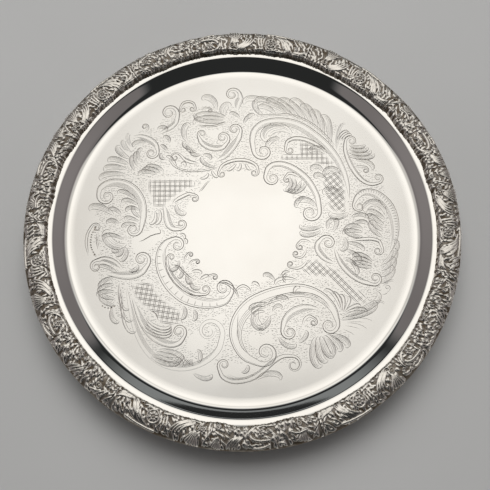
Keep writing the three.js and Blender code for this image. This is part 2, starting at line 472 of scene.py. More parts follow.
@dataclass
class Graver:
    """Cuts of V section in a flat round field, in millimetres."""

    reach: float = 113.0  # the engraving stays inside this radius
    wall: float = 0.5  # tangent of the slope of a groove's walls
    tighten: float = 0.17  # how fast a coil's radius falls, per radian
    turns: float = 1.3  # turns in a coil
    coil_step: float = 0.12  # turn between a coil's points, in radians
    cell: float = 0.5  # size of the cells that record where the field is taken
    deepest: float = 0.16  # no cut goes deeper than this
    # widths of a scroll's bold line, its fine line, the line between them and its shading
    scroll_widths: tuple = (0.48, 0.31, 0.22, 0.24)
    # widths of a leaf's outer outline, its inner one, its rib and its shading
    leaf_widths: tuple = (0.38, 0.3, 0.22, 0.2)
    box: float = 4.0  # size of the boxes that the cuts are sorted into
    medallion: float = 43.0  # no matting inside this radius
    matted: float = 107.0  # nor outside this one

    def __post_init__(self) -> None:
        """Start with an empty field."""
        self.cuts: list[tuple[Array, Array]] = []
        side = int(2 * self.reach / self.cell) + 4
        self.taken = np.zeros((side, side), bool)

    # Single cuts

    def cut(self, path: Array, width: float, swell: float = 0.3) -> None:
        """Cut one line that swells from a point to its width and back.

        The line's points are near together where it bends: their distance goes as the square
        root of its radius. Half its width is width / 2 * (4 t (1 - t)) ** swell.

        Args:
            path: Close points along it.
            width: Its width at the middle.
            swell: How slowly it swells.
        """
        step = np.diff(path, axis=0)
        length = np.maximum(np.hypot(*step.T), 1e-6)
        heading = np.unwrap(np.arctan2(step[:, 1], step[:, 0]))
        bend = np.abs(np.gradient(heading)) / length if len(heading) > 1 else np.zeros(1)
        want = np.clip(np.sqrt(0.85 / np.maximum(bend, 1e-3)), 0.75, 4.5)
        load = np.concatenate([[0], np.cumsum(length / want)])
        even = np.linspace(0, load[-1], max(3, int(load[-1]) + 2))
        points = np.stack([np.interp(even, load, column) for column in path.T], axis=1)
        if np.hypot(*points.T).max() >= self.reach:
            return
        t = even / load[-1]
        self.cuts.append((points, width / 2 * (4 * t * (1 - t)) ** swell))

    def take(self, path: Array, other: Array) -> None:
        """Record that the field between two paths of the same length is taken."""
        across = np.linspace(0, 1, 2 + int(np.abs(path - other).max() / self.cell * 1.5))
        places = path[:, None] + (other - path)[:, None] * across[None, :, None]
        i, j = self._cells(places.reshape(-1, 2))
        self.taken[i, j] = True

    def _cells(self, places: Array) -> tuple[Array, Array]:
        """Return the record's row and column for each place."""
        numbers = np.clip(((places + self.reach) / self.cell).astype(int), 0, len(self.taken) - 1)
        return numbers[:, 0], numbers[:, 1]

    # Motifs

    def coil(self, start: Array, ahead: Array, radius: float) -> Array:
        """Return points on a spiral that leaves a place and winds inwards.

        Its radius is radius * exp(-tighten * a) once it has turned by a. The points are the
        integral of that, which is an exponential of a complex number.

        Args:
            start: Where it leaves.
            ahead: A vector along its direction there.
            radius: Its first radius, negative for one that winds clockwise.

        Returns:
            The points after the first.
        """
        turned = np.arange(self.coil_step, self.turns * TURN, self.coil_step)
        rate = complex(-self.tighten, math.copysign(1, radius))
        heading = math.atan2(ahead[1], ahead[0])
        track = abs(radius) * np.exp(1j * heading) * (np.exp(rate * turned) - 1) / rate
        return start + np.stack([track.real, track.imag], axis=1)

    def scroll(
        self, stations: Sequence, width: float, side: int, start: float = 0, end: float = 0,
        shades: int = 3, rungs: float = 0,
    ) -> None:
        """Engrave a scroll: a bright band between a bold line and a fine one, coiled at its ends.

        The fine line is at the band's width from the bold one, and at a third of a coil's
        radius in the coil.

        Args:
            stations: Places on the bold line, without its coils.
            width: Of the band at its middle.
            side: 1 where the fine line is to the left of the bold one, -1 to its right.
            start: Radius of the coil at the first station, negative to coil away, or 0.
            end: The same for the last station.
            shades: Fine lines along the band's inner edge.
            rungs: Distance between the ticks across the band, or 0 for none.
        """
        body = through(stations)
        before = after = np.empty((0, 2))
        if start:
            before = self.coil(body[0], body[0] - body[1], -side * start)[::-1]
        if end:
            after = self.coil(body[-1], body[-1] - body[-2], side * end)
        bold = np.concatenate([before, body, after])
        t = np.linspace(0, 1, len(body))
        full = np.sin(math.pi * t) ** 0.8
        first, last = abs(start) * 0.33, abs(end) * 0.33
        wide = (width - first * (1 - t) - last * t) * full + first * (1 - t) + last * t
        fall = np.exp(-self.tighten * self.coil_step * np.arange(1, len(before) + len(after) + 1))
        opening, closing = fall[: len(before)][::-1], fall[: len(after)]
        band = side * np.concatenate([first * opening, wide, last * closing])
        fine = beside(bold, band)
        heavy, light, middle, shading = self.scroll_widths
        self.cut(bold, heavy, 0.22)
        self.cut(fine[3:-3], light)
        self.take(bold, fine)
        if width > 3:
            self.cut(beside(bold, band * 0.16)[8:-8], middle)
        inner = slice(len(before) + len(body) // 12, len(before) + 11 * len(body) // 12)
        for number in range(shades):
            share = 0.86 - 0.12 * number
            trim = int(len(body) * 0.05 * number)
            line = beside(bold, band * share)[inner]
            self.cut(line[trim : len(line) - trim], shading)
        if rungs:
            self.rungs(bold[inner], beside(bold, band * 0.62)[inner], rungs)

    def rungs(self, path: Array, other: Array, pitch: float) -> None:
        """Cut short ticks from one path to another, a pitch apart."""
        length = lengths(path)
        for at in np.arange(pitch, length[-1], pitch):
            k = int(np.searchsorted(length, at))
            self.cut(np.linspace(path[k] * 0.9 + other[k] * 0.1, other[k], 4), 0.4)

    def leaf(self, spine: Sequence, width: float, shades: int = 3) -> None:
        """Engrave an acanthus leaf: two outlines that meet at a hooked tip, a rib and shading.

        Its half width is width * (4 t (1 - t)) ** 0.6, with t from 0 at the root to 1. The tip
        hooks to the side that the spine bends to, and the shading follows the other side.

        Args:
            spine: Root, a place that the spine leans towards, and tip.
            width: Half of its greatest width.
            shades: Most lines beside the rib; a narrow leaf has fewer.
        """
        stations = np.asarray(spine, float)
        lead, ahead = stations[-2] - stations[-3], stations[-1] - stations[-2]
        bend = 1 if lead[0] * ahead[1] - lead[1] * ahead[0] > 0 else -1
        size = 0.3 * np.hypot(*(stations[-1] - stations[0])) / np.hypot(*ahead)
        over = stations[-1] + ahead * size * 0.5
        hook = stations[-1] + np.array([-ahead[1], ahead[0]]) * bend * size
        rib = smooth_path(np.array([*stations[:-1], over, hook]), 60)
        t = np.linspace(0, 1, len(rib))
        half = bend * width * (4 * t * (1 - t)) ** 0.6
        outer, inner = beside(rib, -half), beside(rib, half * 0.8)
        heavy, light, vein, shading = self.leaf_widths
        self.cut(outer, heavy)
        self.cut(inner, light)
        if width > 1.3:
            self.cut(rib[2:52], vein)
        self.take(outer, inner)
        count = min(shades, int(width / 0.75))
        for number in range(count):
            share = 0.2 + 0.8 * (number + 1) / (count + 1)
            self.cut(beside(rib, -half * share)[4 + 3 * number : 52 - 3 * number], shading)
        if count > 1:
            self.cut(beside(rib, half * 0.4)[8:34], shading)

    def spray(self, first: Sequence, last: Sequence, count: int, width: float, shades: int = 3) -> None:
        """Engrave a run of leaves whose spines change evenly from a first to a last.

        Args:
            first: The first leaf's spine.
            last: The last leaf's spine.
            count: How many leaves there are.
            width: Half of the greatest width of each.
            shades: Most lines beside a rib.
        """
        first, last = np.asarray(first, float), np.asarray(last, float)
        for share in np.linspace(0, 1, count):
            self.leaf(first + (last - first) * share, width, shades)

    def line(self, *stations: Pair, width: float = 0.45, twin: float = 0.0) -> None:
        """Cut a line through the stations, with a fine twin beside it if that is asked for."""
        path = through(stations)
        self.cut(path, width)
        if twin:
            self.cut(beside(path, twin)[2:-2], width * 0.6)

    def lattice(self, corners: Sequence, angle: float, pitch: float) -> None:
        """Fill a polygon with crossing pairs of lines, in a frame turned with the lattice.

        Args:
            corners: The polygon.
            angle: Direction of one family of lines, in degrees; the other is square to it.
            pitch: Distance between pairs.
        """
        cos, sin = math.cos(math.radians(angle)), math.sin(math.radians(angle))
        back = np.array([[cos, sin], [-sin, cos]])
        flat = np.asarray(corners, float) @ back.T
        low, high = flat.min(axis=0), flat.max(axis=0)
        rows = [np.arange(low[k] + pitch / 2, high[k], pitch) for k in (0, 1)]
        for axis in (0, 1):
            run = np.arange(low[1 - axis], high[1 - axis], 0.25)
            for offset in np.concatenate([rows[axis] - 0.5, rows[axis] + 0.5]):
                places = np.empty((len(run), 2))
                places[:, axis], places[:, 1 - axis] = offset, run
                inside = np.concatenate([[False], self._inside(places, flat), [False]])
                changes = np.flatnonzero(inside[1:] != inside[:-1])
                for first, last in zip(changes[::2], changes[1::2] - 1):
                    if last - first > 5:
                        self.cut(np.linspace(places[first], places[last], 3) @ back, 0.36, 0.12)
        x, y = np.meshgrid(np.arange(low[0], high[0], 0.4), np.arange(low[1], high[1], 0.4))
        grid = np.stack([x.ravel(), y.ravel()], axis=1)
        i, j = self._cells(grid[self._inside(grid, flat)] @ back)
        self.taken[i, j] = True

    @staticmethod
    def _inside(places: Array, corners: Array) -> Array:
        """Return whether each place is in a polygon, by counting the edges that it is left of."""
        following = np.roll(corners, -1, axis=0)
        x, y = places[:, :1], places[:, 1:]
        spans = (corners[:, 1] > y) != (following[:, 1] > y)
        rise = np.where(following[:, 1] == corners[:, 1], 1e-9, following[:, 1] - corners[:, 1])
        cross = corners[:, 0] + (y - corners[:, 1]) * (following[:, 0] - corners[:, 0]) / rise
        return (spans & (x < cross)).sum(axis=1) % 2 == 1

    def beads(self, path: Array, pitch: float, size: float) -> None:
        """Cut round beads along a path."""
        length = lengths(path)
        for at in np.arange(0, length[-1], pitch):
            k = int(np.searchsorted(length, at))
            ahead = path[min(k + 1, len(path) - 1)] - path[max(k - 1, 0)]
            ahead = ahead / np.hypot(*ahead) * size / 2
            self.cut(np.linspace(path[k] - ahead, path[k] + ahead, 5), size, 0.5)

    def matting(self, pitch: float, seed: int) -> None:
        """Cover the field that is left between the motifs with short ticks.

        A tick is cut where nothing is taken near it but much is taken round about it.

        Args:
            pitch: Mean distance between ticks.
            seed: For their places and directions.
        """
        rng = np.random.default_rng(seed)
        wide = self.taken.astype(float)
        span = int(7.0 / self.cell)
        for axis in (0, 1):
            total = np.cumsum(wide, axis=axis)
            wide = (np.roll(total, -span, axis=axis) - np.roll(total, span, axis=axis)) / (2 * span)
        grown = self.taken.copy()
        for shift in (1, -1):
            grown |= np.roll(self.taken, shift, axis=0) | np.roll(self.taken, shift, axis=1)
        side = np.arange(-self.reach, self.reach, pitch)
        x, y = np.meshgrid(side, side * 0.85, indexing="ij")
        places = np.stack([x.ravel(), y.ravel()], axis=1)
        places = places + rng.uniform(-0.4, 0.4, (x.size, 2)) * pitch
        radius = np.hypot(*places.T)
        i, j = self._cells(places)
        good = (radius > self.medallion) & (radius < self.matted) & ~grown[i, j] & (wide[i, j] > 0.22)
        for place in places[good]:
            angle = rng.uniform(-0.35, 0.35)
            ahead = np.array([math.cos(angle), math.sin(angle)]) * rng.uniform(0.55, 1.0)
            self.cut(np.linspace(place - ahead, place + ahead, 3), rng.uniform(0.22, 0.32), 0.5)

    # The surface

    def depths(self, places: Array) -> Array:
        """Return how deep the cuts are at each place.

        A cut's depth is the slope of its walls times what is left of its half width at that
        distance from its middle, and the deepest cut counts. Each place looks only at the cuts
        in its own square box and the eight round it.
        """
        starts = np.concatenate([points[:-1] for points, _ in self.cuts])
        steps = np.concatenate([np.diff(points, axis=0) for points, _ in self.cuts])
        low = np.concatenate([half[:-1] for _, half in self.cuts])
        grow = np.concatenate([np.diff(half) for _, half in self.cuts])
        square = np.maximum((steps**2).sum(axis=1), 1e-12)
        row = int(2 * self.reach / self.box) + 4

        def box(where: Array) -> Array:
            """Number of the box that each place is in."""
            cells = ((where + self.reach) / self.box).astype(int) + 1
            return cells[:, 0] * row + cells[:, 1]

        owner = box(starts + steps / 2)
        order = np.argsort(owner, kind="stable")
        bounds = np.searchsorted(owner[order], np.arange(row * row + 1))
        depth = np.zeros(len(places))
        homes = box(places)
        sequence = np.argsort(homes, kind="stable")
        groups = np.split(sequence, np.flatnonzero(np.diff(homes[sequence])) + 1)
        for group in groups:
            home = homes[group[0]]
            around = [home + i * row + j for i in (-1, 0, 1) for j in (-1, 0, 1)]
            held = [order[bounds[b] : bounds[b + 1]] for b in around if 0 <= b < row * row]
            near = np.concatenate(held)
            if not len(near):
                continue
            gap = places[group][:, None] - starts[near]
            share = np.clip((gap * steps[near]).sum(axis=2) / square[near], 0, 1)
            off = gap - share[..., None] * steps[near]
            left = low[near] + grow[near] * share - np.hypot(off[..., 0], off[..., 1])
            depth[group] = np.maximum(left.max(axis=1), 0)
        return np.minimum(np.where(depth < 0.002, 0, depth) * self.wall, self.deepest)

    def surface(self, ring: Array) -> tuple[Array, Array, Array]:
        """Return the field inside a ring as triangles, with every cut sunk into it.

        The triangles keep to the middle and to both sides of each cut.

        Args:
            ring: The ring's points in order, which must stay the first points.

        Returns:
            The points' places, with depth downwards; the triangles; and the depth of each point.
        """
        points, chains = [ring], []
        ring_ids = np.arange(len(ring))
        chains.append(np.stack([ring_ids, np.roll(ring_ids, -1)], axis=1))
        total = len(ring)
        for middle, half in self.cuts:
            inner = len(middle) - 2
            sides = [beside(middle, offset)[1:-1] for offset in (half, -half)]
            points += [middle, *sides]
            ids = np.arange(total, total + len(middle))
            chains.append(np.stack([ids[:-1], ids[1:]], axis=1))
            for number in (0, 1):
                first = total + len(middle) + number * inner
                chain = np.concatenate([ids[:1], np.arange(first, first + inner), ids[-1:]])
                chains.append(np.stack([chain[:-1], chain[1:]], axis=1))
            total += len(middle) + 2 * inner
        flat = [Vector(place) for place in np.concatenate(points)]
        made = delaunay_2d_cdt(flat, np.concatenate(chains).tolist(), [], 0, 1e-4, True)
        places = np.array([(place.x, place.y) for place in made[0]])
        triangles = np.array(made[2])
        home = np.full(len(places), -1)
        for number, sources in enumerate(made[3]):
            if sources and min(sources) < len(ring):
                home[number] = min(sources)
        renumber = np.empty(len(places), int)
        renumber[home >= 0] = home[home >= 0]
        renumber[home < 0] = len(ring) + np.arange((home < 0).sum())
        ordered = np.empty_like(places)
        ordered[renumber] = places
        ordered[: len(ring)] = ring
        depth = self.depths(ordered)
        depth[: len(ring)] = 0
        return ordered, renumber[triangles], depth


@dataclass
class Ornament:
    """The engraved design: scrolls, acanthus and lattice round a plain medallion.

    Places are in millimetres from the middle of the field.
    """

    graver: Graver  # what cuts it
    seed: int = 7  # for the matted ground
    pitch: float = 1.6  # mean distance between the ticks of that ground

    def upper_right(self) -> None:
        """The great C at the far right, with a lattice in its arms and acanthus on its back."""
        g = self.graver
        g.scroll([
            (7.6, 58.5), (6.2, 67), (7.8, 76), (14, 82.6), (22, 85.2), (33, 85.4), (44, 82.3), (55, 74.6),
            (65, 64.6), (72, 53.8), (77, 40), (78.4, 28), (77.6, 19),
        ], 6.6, -1, start=8.8)
        g.scroll([(31.9, 60.5), (33, 66.4), (38, 69.7), (46, 69.7), (54, 66.3), (61, 60.8), (66, 55)],
                 3.4, -1, start=4.3, shades=2)
        g.leaf([(38, 72), (30, 83), (15, 77), (15.5, 69)], 4.6, 7)
        g.leaf([(29, 68), (24, 71), (18, 64)], 2.2)
        g.lattice([
            (42.5, 67.5), (51, 65.5), (60, 58), (68, 49), (65, 43), (50, 50.5), (28, 51), (28.5, 55.5),
            (41.5, 56),
        ], 0, 3.7)
        g.lattice([(57.5, 38), (66, 43), (72, 42), (76, 28), (75, 10), (68, 9), (62, 14), (59.5, 26)],
                  38, 3.7)
        g.leaf([(63, 55), (58, 63), (51, 60.5)], 2.6)
        g.spray([(60, 41), (56, 50), (50.5, 45)], [(62, 36), (54, 43), (53, 38)], 2, 2, 2)
        g.leaf([(74, 34), (71, 46), (61, 46), (60, 39)], 3.2, 5)
        g.leaf([(73, 20), (70, 29), (60, 28)], 3, 4)
        g.leaf([(76.5, 10), (71, 4), (63, 6.5)], 2.4, 4)
        g.spray([(35, 89), (20, 101), (6, 106)], [(53, 79.5), (50, 93), (43, 102.5)], 5, 2.7, 5)
        g.spray([(57, 77.5), (55, 88), (50.5, 97)], [(70, 56), (72, 70), (74, 80.5)], 4, 2.5, 5)
        g.spray([(17, 88), (10, 92), (9, 99)], [(26, 88.5), (22, 95), (15, 97)], 2, 2.2)
        g.spray([(71.5, 66.5), (73, 72), (78, 75.5)], [(75, 66), (76, 70.5), (81, 72.5)], 3, 1, 1)
        g.line((10, 88.5), (25, 88.6), (37, 88.8), (48, 84.5), (60, 75), (70, 62), twin=-1.2)
        side = [(76.5, 66), (75.4, 60), (76.4, 53), (79, 45), (83.5, 37), (89, 31.8), (95, 30), (100, 31.3)]
        g.scroll(side, 3.6, 1, start=5.5, end=5, shades=2)
        g.spray([(80, 63), (83, 60), (91, 60)], [(79, 54), (84, 52), (97, 50.5)], 4, 1.5)
        g.scroll([(82, 45), (86, 46), (90.5, 45.6)], 1.6, -1, end=3.4, shades=0)
        g.leaf([(84, 50), (92, 52), (98, 46)], 1.8, 4)

    def right(self) -> None:
        """The banded C at the right edge, and the leaves and small scrolls behind it."""
        g = self.graver
        g.scroll([
            (79.8, 17), (82, 22.4), (86.5, 26.5), (92, 27.8), (98, 26.4), (104, 22), (109, 15.4), (111.6, 7),
            (111.9, -2), (110.4, -10), (107.4, -16.5), (102.5, -22),
        ], 6.6, -1, start=5.5, shades=2, rungs=2.2)
        g.leaf([(103.5, 6), (101, 21), (93, 19), (87, 14.5)], 3, 6)
        g.spray([(100, -9), (93, -6), (90, 1)], [(102, 4), (98, 9), (92, 12)], 4, 2)
        g.spray([(86, -3), (80, 3), (73, -1)], [(86, -8), (80, -10), (72, -5)], 3, 1.7)
        g.spray([(78, 6), (84, 10), (90, 8)], [(79, 1), (84, 4), (89, 3)], 2, 1.6)
        g.spray([(64, -5), (70, 3), (68, 5)], [(61, -3), (60, 3), (64, 5)], 2, 1.8)
        g.scroll([(76, -10.6), (84, -9.6), (92, -9.2), (97.8, -11.6), (99.6, -17)],
                 2.6, -1, end=4.6, shades=2)
        g.scroll([(65.5, -28.7), (58.6, -26.9), (53.6, -22.9), (51, -17.6), (51.7, -12.4), (55, -9)],
                 4.4, -1, end=7)
        g.scroll([(64.6, -16), (65.2, -22), (67, -28), (70.6, -33.8), (76, -39), (83, -43), (90, -44.6)],
                 4.4, 1, end=6.2)
        g.spray([(91, -27), (86, -21), (79, -20)], [(91, -31), (85, -31), (78, -29)], 4, 1.7)
        g.leaf([(72, -8.5), (76, -16), (71, -19)], 2)
        g.spray([(74, -13), (80, -13), (86, -16)], [(72, -24), (78, -26), (82, -34)], 3, 1.7)
        g.spray([(97, -29), (106, -25), (112, -14.5)], [(95, -42), (101, -42), (107, -33)], 4, 2.1, 4)
        g.scroll([(94, -51.5), (99.5, -52), (102.5, -48.5)], 1.8, 1, end=3.6, shades=0)
        g.spray([(96, -46), (99, -42), (104, -40)], [(84, -60), (90, -54), (97, -55)], 2, 1.6)
        g.lattice([
            (47, -24.5), (53, -24), (60, -30), (66, -31.5), (74, -42), (86.5, -53), (83, -58.5), (77, -56),
            (67, -45), (59, -38.5), (48, -37.5), (40, -32),
        ], 42, 3.6)

    def lower_right(self) -> None:
        """The great C nearest the front, its inner scrolls and the fan of acanthus beside it."""
        g = self.graver
        g.scroll([
            (65.8, -69), (64.2, -60), (58.5, -51.5), (49.5, -45.3), (38, -42.4), (26, -43.6), (13, -47.3),
            (3, -52.3), (-4.5, -59.8), (-8.9, -69), (-9.6, -78), (-6.6, -87), (-0.4, -94.6), (9, -98.4),
        ], 10, 1, start=8, end=10.6)
        g.line((-3.5, -62), (-4.2, -71), (-3.9, -79), (-1.4, -86), (4, -91), width=0.36)
        g.line((16.1, -60), (18, -54.8), (22.5, -51.3), (29, -49.2), (40, -48.4), (50, -50.3), (56, -54.4),
               (60, -60), twin=-1.1)
        line = [(53, -60.6), (47, -57.5), (41, -57), (35, -58.6), (29.8, -62.2), (26.2, -67.6), (25.2, -74)]
        g.scroll(line, 5.4, 1, end=6.6)
        g.scroll([(40.2, -72), (41, -67), (45.2, -64.2), (48.9, -66.2)], 1.8, -1, end=3.6, shades=0)
        g.leaf([(10.5, -60), (3, -69), (12, -74)], 3.4, 5)
        g.leaf([(18, -64), (18, -72), (11, -74)], 2, 4)
        g.spray([(17, -56), (11, -55), (4, -57)], [(15, -62), (10, -60), (7, -63)], 3, 1.2, 2)
        g.spray([(24, -54), (22, -49), (31, -52)], [(20, -62), (22, -55), (26.5, -57.5)], 2, 1.4, 2)
        g.leaf([(36, -50), (34, -45), (38.5, -44)], 1.3, 2)
        g.leaf([(24, -79), (26, -86), (34, -87.5)], 1.8, 4)
        g.leaf([(37, -83), (41, -82), (44, -77)], 1.6)
        g.spray([(58, -78), (68, -80), (71.5, -83.5)], [(49, -79), (44, -89), (46.5, -99.5)], 6, 2.5, 5)
        g.spray([(67, -66), (82, -62), (95.5, -56.5)], [(64, -73), (72, -74), (80, -79)], 5, 2.3, 5)
        g.spray([(67, -62), (66, -52), (60, -45)], [(70, -63), (77, -60), (84, -59.5)], 6, 1.2, 2)
        g.scroll([
            (-17.9, -100), (-15.6, -106), (-9, -109.6), (0, -109.6), (9, -106.4), (15.5, -101.4),
            (21, -96.6), (27, -93.3), (32, -93),
        ], 3.6, 1, start=5.2, end=-5.4, shades=2)
        g.leaf([(8, -108), (14, -101), (24.5, -103)], 2, 5)
        g.leaf([(-2, -102), (2, -104), (3.4, -99)], 1.4, 2)
        g.line((-12, -104), (-6, -107), (2, -106.6), (8, -103.6), width=0.36, twin=1.1)

    def lower_left(self) -> None:
        """The long scroll along the left front, with its round coil and a second one in it."""
        g = self.graver
        g.scroll([
            (-12.5, -80), (-14.6, -87.6), (-20.5, -94.3), (-29, -99.3), (-41, -102), (-53, -100),
            (-63.9, -93.4), (-71.2, -84.2), (-76, -73.5), (-79.2, -61), (-80.9, -50), (-81.6, -40.5),
        ], 5.6, -1, start=12.6)
        g.scroll([
            (-39.6, -78.6), (-42.4, -83.2), (-48, -85.4), (-55, -84.2), (-63, -79.8), (-69.3, -72.4),
            (-74, -62), (-77.4, -50),
        ], 5, -1, start=6.4, shades=4)
        g.spray([(-67, -64), (-62, -73.5), (-51, -74.5)], [(-70, -70), (-62, -79.5), (-50, -80)], 4, 1.3)
        g.spray([(-58, -87), (-49, -87), (-40, -91)], [(-63, -91), (-54, -98), (-44, -98)], 4, 1.9, 4)
        g.lattice([(-40.5, -93), (-34.5, -93), (-33, -98), (-41, -99)], 40, 1.9)
        g.leaf([(-32, -87), (-28, -88), (-29, -95)], 1.4, 2)
        g.leaf([(-34, -102.6), (-28, -108), (-22, -107)], 1.7)
        g.line((-65, -59.4), (-60.4, -62), (-58.2, -67.4), width=0.6)
        net = [
            (-78.6, -41), (-63, -38.5), (-61, -45), (-54, -53), (-43, -60), (-41, -69.5), (-49, -70),
            (-57, -69.5),
        ]
        g.lattice([*net, (-62, -62), (-70, -56.5), (-76, -50)], -9, 3.5)
        g.spray([(-42, -57), (-38, -60), (-40.5, -66)], [(-35, -60), (-31, -62), (-33, -67)], 2, 1.6, 2)
        g.spray([(-90, -36.5), (-96, -36), (-101, -41)], [(-88, -56), (-94, -56), (-100, -51)], 5, 1.7, 4)
        g.spray([(-86, -40), (-87, -50), (-84, -60)], [(-83.5, -48), (-85, -62), (-81, -76)], 3, 1)
        g.beads(through([(-99, -55), (-95, -57.6), (-91, -57.6), (-87.5, -56)]), 2.2, 1.5)
        g.leaf([(-90, -57), (-93, -64), (-88, -69)], 1.6)

    def left(self) -> None:
        """The banded C and the leaf scrolls at the left, with the beaded arc outside them."""
        g = self.graver
        g.scroll([
            (-50, -7.3), (-55.2, -9.4), (-59, -13.8), (-61, -19.5), (-61.2, -27), (-59.3, -34.5),
            (-55.6, -42), (-50, -48.9), (-42.6, -54.6), (-34, -57.8), (-25, -58.8), (-16.8, -58),
            (-10.8, -55.4), (-7.6, -50.6),
        ], 9, 1, start=7, end=8.6, shades=2, rungs=5.5)
        g.scroll([
            (-53.9, -22.5), (-54.2, -28), (-51.8, -35), (-46.8, -41.8), (-40, -47.3), (-33, -50),
            (-27, -49.9),
        ], 3.4, 1, start=3.6, end=4.6, shades=2)
        g.line((-50, -27.6), (-45.4, -28.4), (-41.6, -32), (-37.4, -36.2), (-33.6, -38.4), width=0.6,
               twin=-1.2)
        g.spray([(-45, -24), (-44, -31), (-50, -32.5)], [(-36, -38), (-38, -45), (-31, -46)], 4, 1.5)
        g.scroll([(-97, -33.4), (-90, -36), (-82, -37.6), (-74.5, -36.9), (-68.8, -33.6), (-65.6, -28)],
                 5.4, 1, end=7.6)
        g.scroll([(-83.5, -31), (-87, -25.6), (-92, -22.1), (-98.6, -21), (-104, -23)], 3.8, 1, end=5.4)
        g.spray([(-84, -14), (-79, -18), (-84, -25)], [(-88, -14), (-88, -19), (-92, -17)], 3, 1.6, 2)
        g.spray([(-88, -33), (-92, -30), (-99, -26)], [(-80, -31), (-76, -33), (-73, -29)], 2, 1.6)
        g.scroll([
            (-105.4, 26.4), (-104.8, 31.4), (-101.2, 35.3), (-95.6, 37.5), (-89.8, 37.8), (-83.8, 36.4),
            (-78.4, 33.2), (-73.6, 28), (-70.4, 22), (-68.9, 15), (-69, 7), (-71.2, -1.5),
        ], 6.4, -1, start=8, end=6.8, shades=4)
        g.spray([(-76, 21), (-82, 27), (-88, 30)], [(-74, 13), (-80, 18), (-84, 15)], 3, 1.6)
        g.spray([(-73, 8), (-78, 10), (-80, 15)], [(-75, 2), (-81, 5), (-86, 3)], 3, 1.4)
        g.scroll([(-108.8, -20.5), (-111.7, -11), (-111, -3.4), (-108.4, 1.8)], 1.8, -1, end=4.4, shades=1)
        g.beads(through([(-105, 0.5), (-107.3, -5), (-107.8, -10), (-107, -15), (-104.6, -19.5)]), 1.9, 1.7)
        g.line((-103.6, -3), (-103.9, -9), (-102, -16.5), width=0.5, twin=1.1)
        g.leaf([(-82, -11.5), (-90, -17), (-97, -9), (-99, -4.6)], 3.6, 6)
        g.leaf([(-84, -9), (-92, -3), (-99, -4)], 1.6, 4)
        g.leaf([(-92, 9.6), (-100, 17), (-108, 18.6)], 2.6, 6)
        g.spray([(-88, 3), (-92, 8), (-97, 6)], [(-87, 10), (-90, 15), (-95, 16)], 2, 1.6)
        g.line((-74, -10.6), (-70, -9), (-65.7, -6.2), (-61.4, -4.7), (-58.6, -4.2), (-58.8, -1), width=0.6)
        g.spray([(-63, 13), (-60, 6), (-64, 2)], [(-60, 14), (-57, 8), (-59.5, 2.5)], 2, 1.3, 2)

    def upper_left(self) -> None:
        """The lattice, scrolls and outward volutes of the far left."""
        g = self.graver
        g.lattice([
            (-68.5, 38), (-35, 38.5), (-33, 31), (-40, 28.5), (-50, 22), (-56, 15.5), (-64, 15), (-66, 22),
            (-69, 31),
        ], 0, 3.7)
        g.scroll([(-80.5, 72), (-75, 73.2), (-69.4, 71.9), (-64.5, 68.8), (-61.5, 64.5), (-60.8, 60)],
                 4.8, -1, end=6.2)
        g.leaf([(-71, 66), (-76, 70), (-81, 66)], 1.6)
        g.scroll([(-72, 73.5), (-69.6, 77)], 1, 1, end=3.6, shades=0)
        g.scroll([(-62, 73), (-56.5, 74.9), (-51, 77.8), (-47.3, 82.4), (-46.3, 88)], 4.2, 1, end=8.6)
        g.leaf([(-63, 77), (-59, 82), (-55, 78)], 1.6)
        g.scroll([(-46.4, 95.5), (-44.4, 99.4), (-39.8, 101.1), (-35.4, 99.4), (-33.9, 95.8)],
                 2, -1, start=3.4, end=3.4, shades=2)
        g.leaf([(-19, 93), (-18, 104), (-27.5, 105.5)], 2.8, 5)
        g.scroll([(-30, 91.5), (-27.5, 95.3), (-23.6, 94.8)], 1.2, -1, end=2.4, shades=0)
        g.scroll([(-2.5, 91.5), (0, 97), (1.8, 102.5), (0.4, 106.8)], 5.2, 1, end=7.2)
        g.leaf([(-12, 88), (-16, 94), (-10, 98)], 3.4, 2)
        g.spray([(-11, 87), (-22, 92), (-34, 91)], [(-12, 83.5), (-22, 82), (-35, 84)], 3, 1.9, 6)
        g.line((-33, 80.4), (-20, 80.2), (-10.5, 83.4), width=0.55, twin=-1.1)
        g.spray([(-1, 86), (-4, 90), (-7, 91)], [(2, 81), (3, 86), (8, 90)], 2, 1.6)
        g.scroll([(-20, 50.2), (-12.4, 52.7), (-7.4, 57.2), (-2.9, 63.6), (0.1, 69.4), (0.8, 74.6)],
                 5.2, 1, end=6.2, shades=4)
        g.scroll([(-32.9, 71.5), (-31.3, 65.7), (-26, 60.9), (-19.2, 59), (-12.8, 60.6), (-9.4, 65.4)],
                 4.6, 1, start=4.2, end=6.4)
        g.leaf([(-40, 67), (-46, 75), (-42, 82)], 2.4, 5)
        g.scroll([(-30, 49), (-36, 49), (-42, 51.4), (-45.8, 56)], 2.6, -1, end=-3.8, shades=2)
        g.line((-17, 46.6), (-24, 43.8), (-33, 42.7), (-43, 43.6), (-50.4, 47.6), (-54, 54), twin=-1.3)
        g.spray([(-48, 47), (-50, 52), (-53, 56)], [(-42, 46), (-40, 51), (-44, 50)], 2, 1.3)
        g.spray([(-36, 62), (-42, 60), (-44, 66)], [(-30, 57), (-34, 54), (-38, 58)], 3, 1.6)
        g.spray([(-24, 52), (-20, 55), (-27, 57)], [(-19, 46), (-27, 47), (-31, 52)], 2, 1.6)
        g.spray([(-57, 43), (-63, 50), (-70, 48.5)], [(-62, 40.6), (-69, 45), (-75, 44)], 3, 1.8, 4)
        g.spray([(-54, 66), (-52, 71), (-57, 72)], [(-56, 54), (-60, 52), (-60, 57)], 3, 1.5)
        g.spray([(-80, 62), (-88, 69), (-86, 74.5)], [(-85, 41), (-94, 43), (-103, 42)], 6, 2.3, 5)
        g.spray([(-75, 52), (-78, 58), (-76, 62)], [(-78, 44), (-83, 50), (-82, 56)], 3, 1.5)

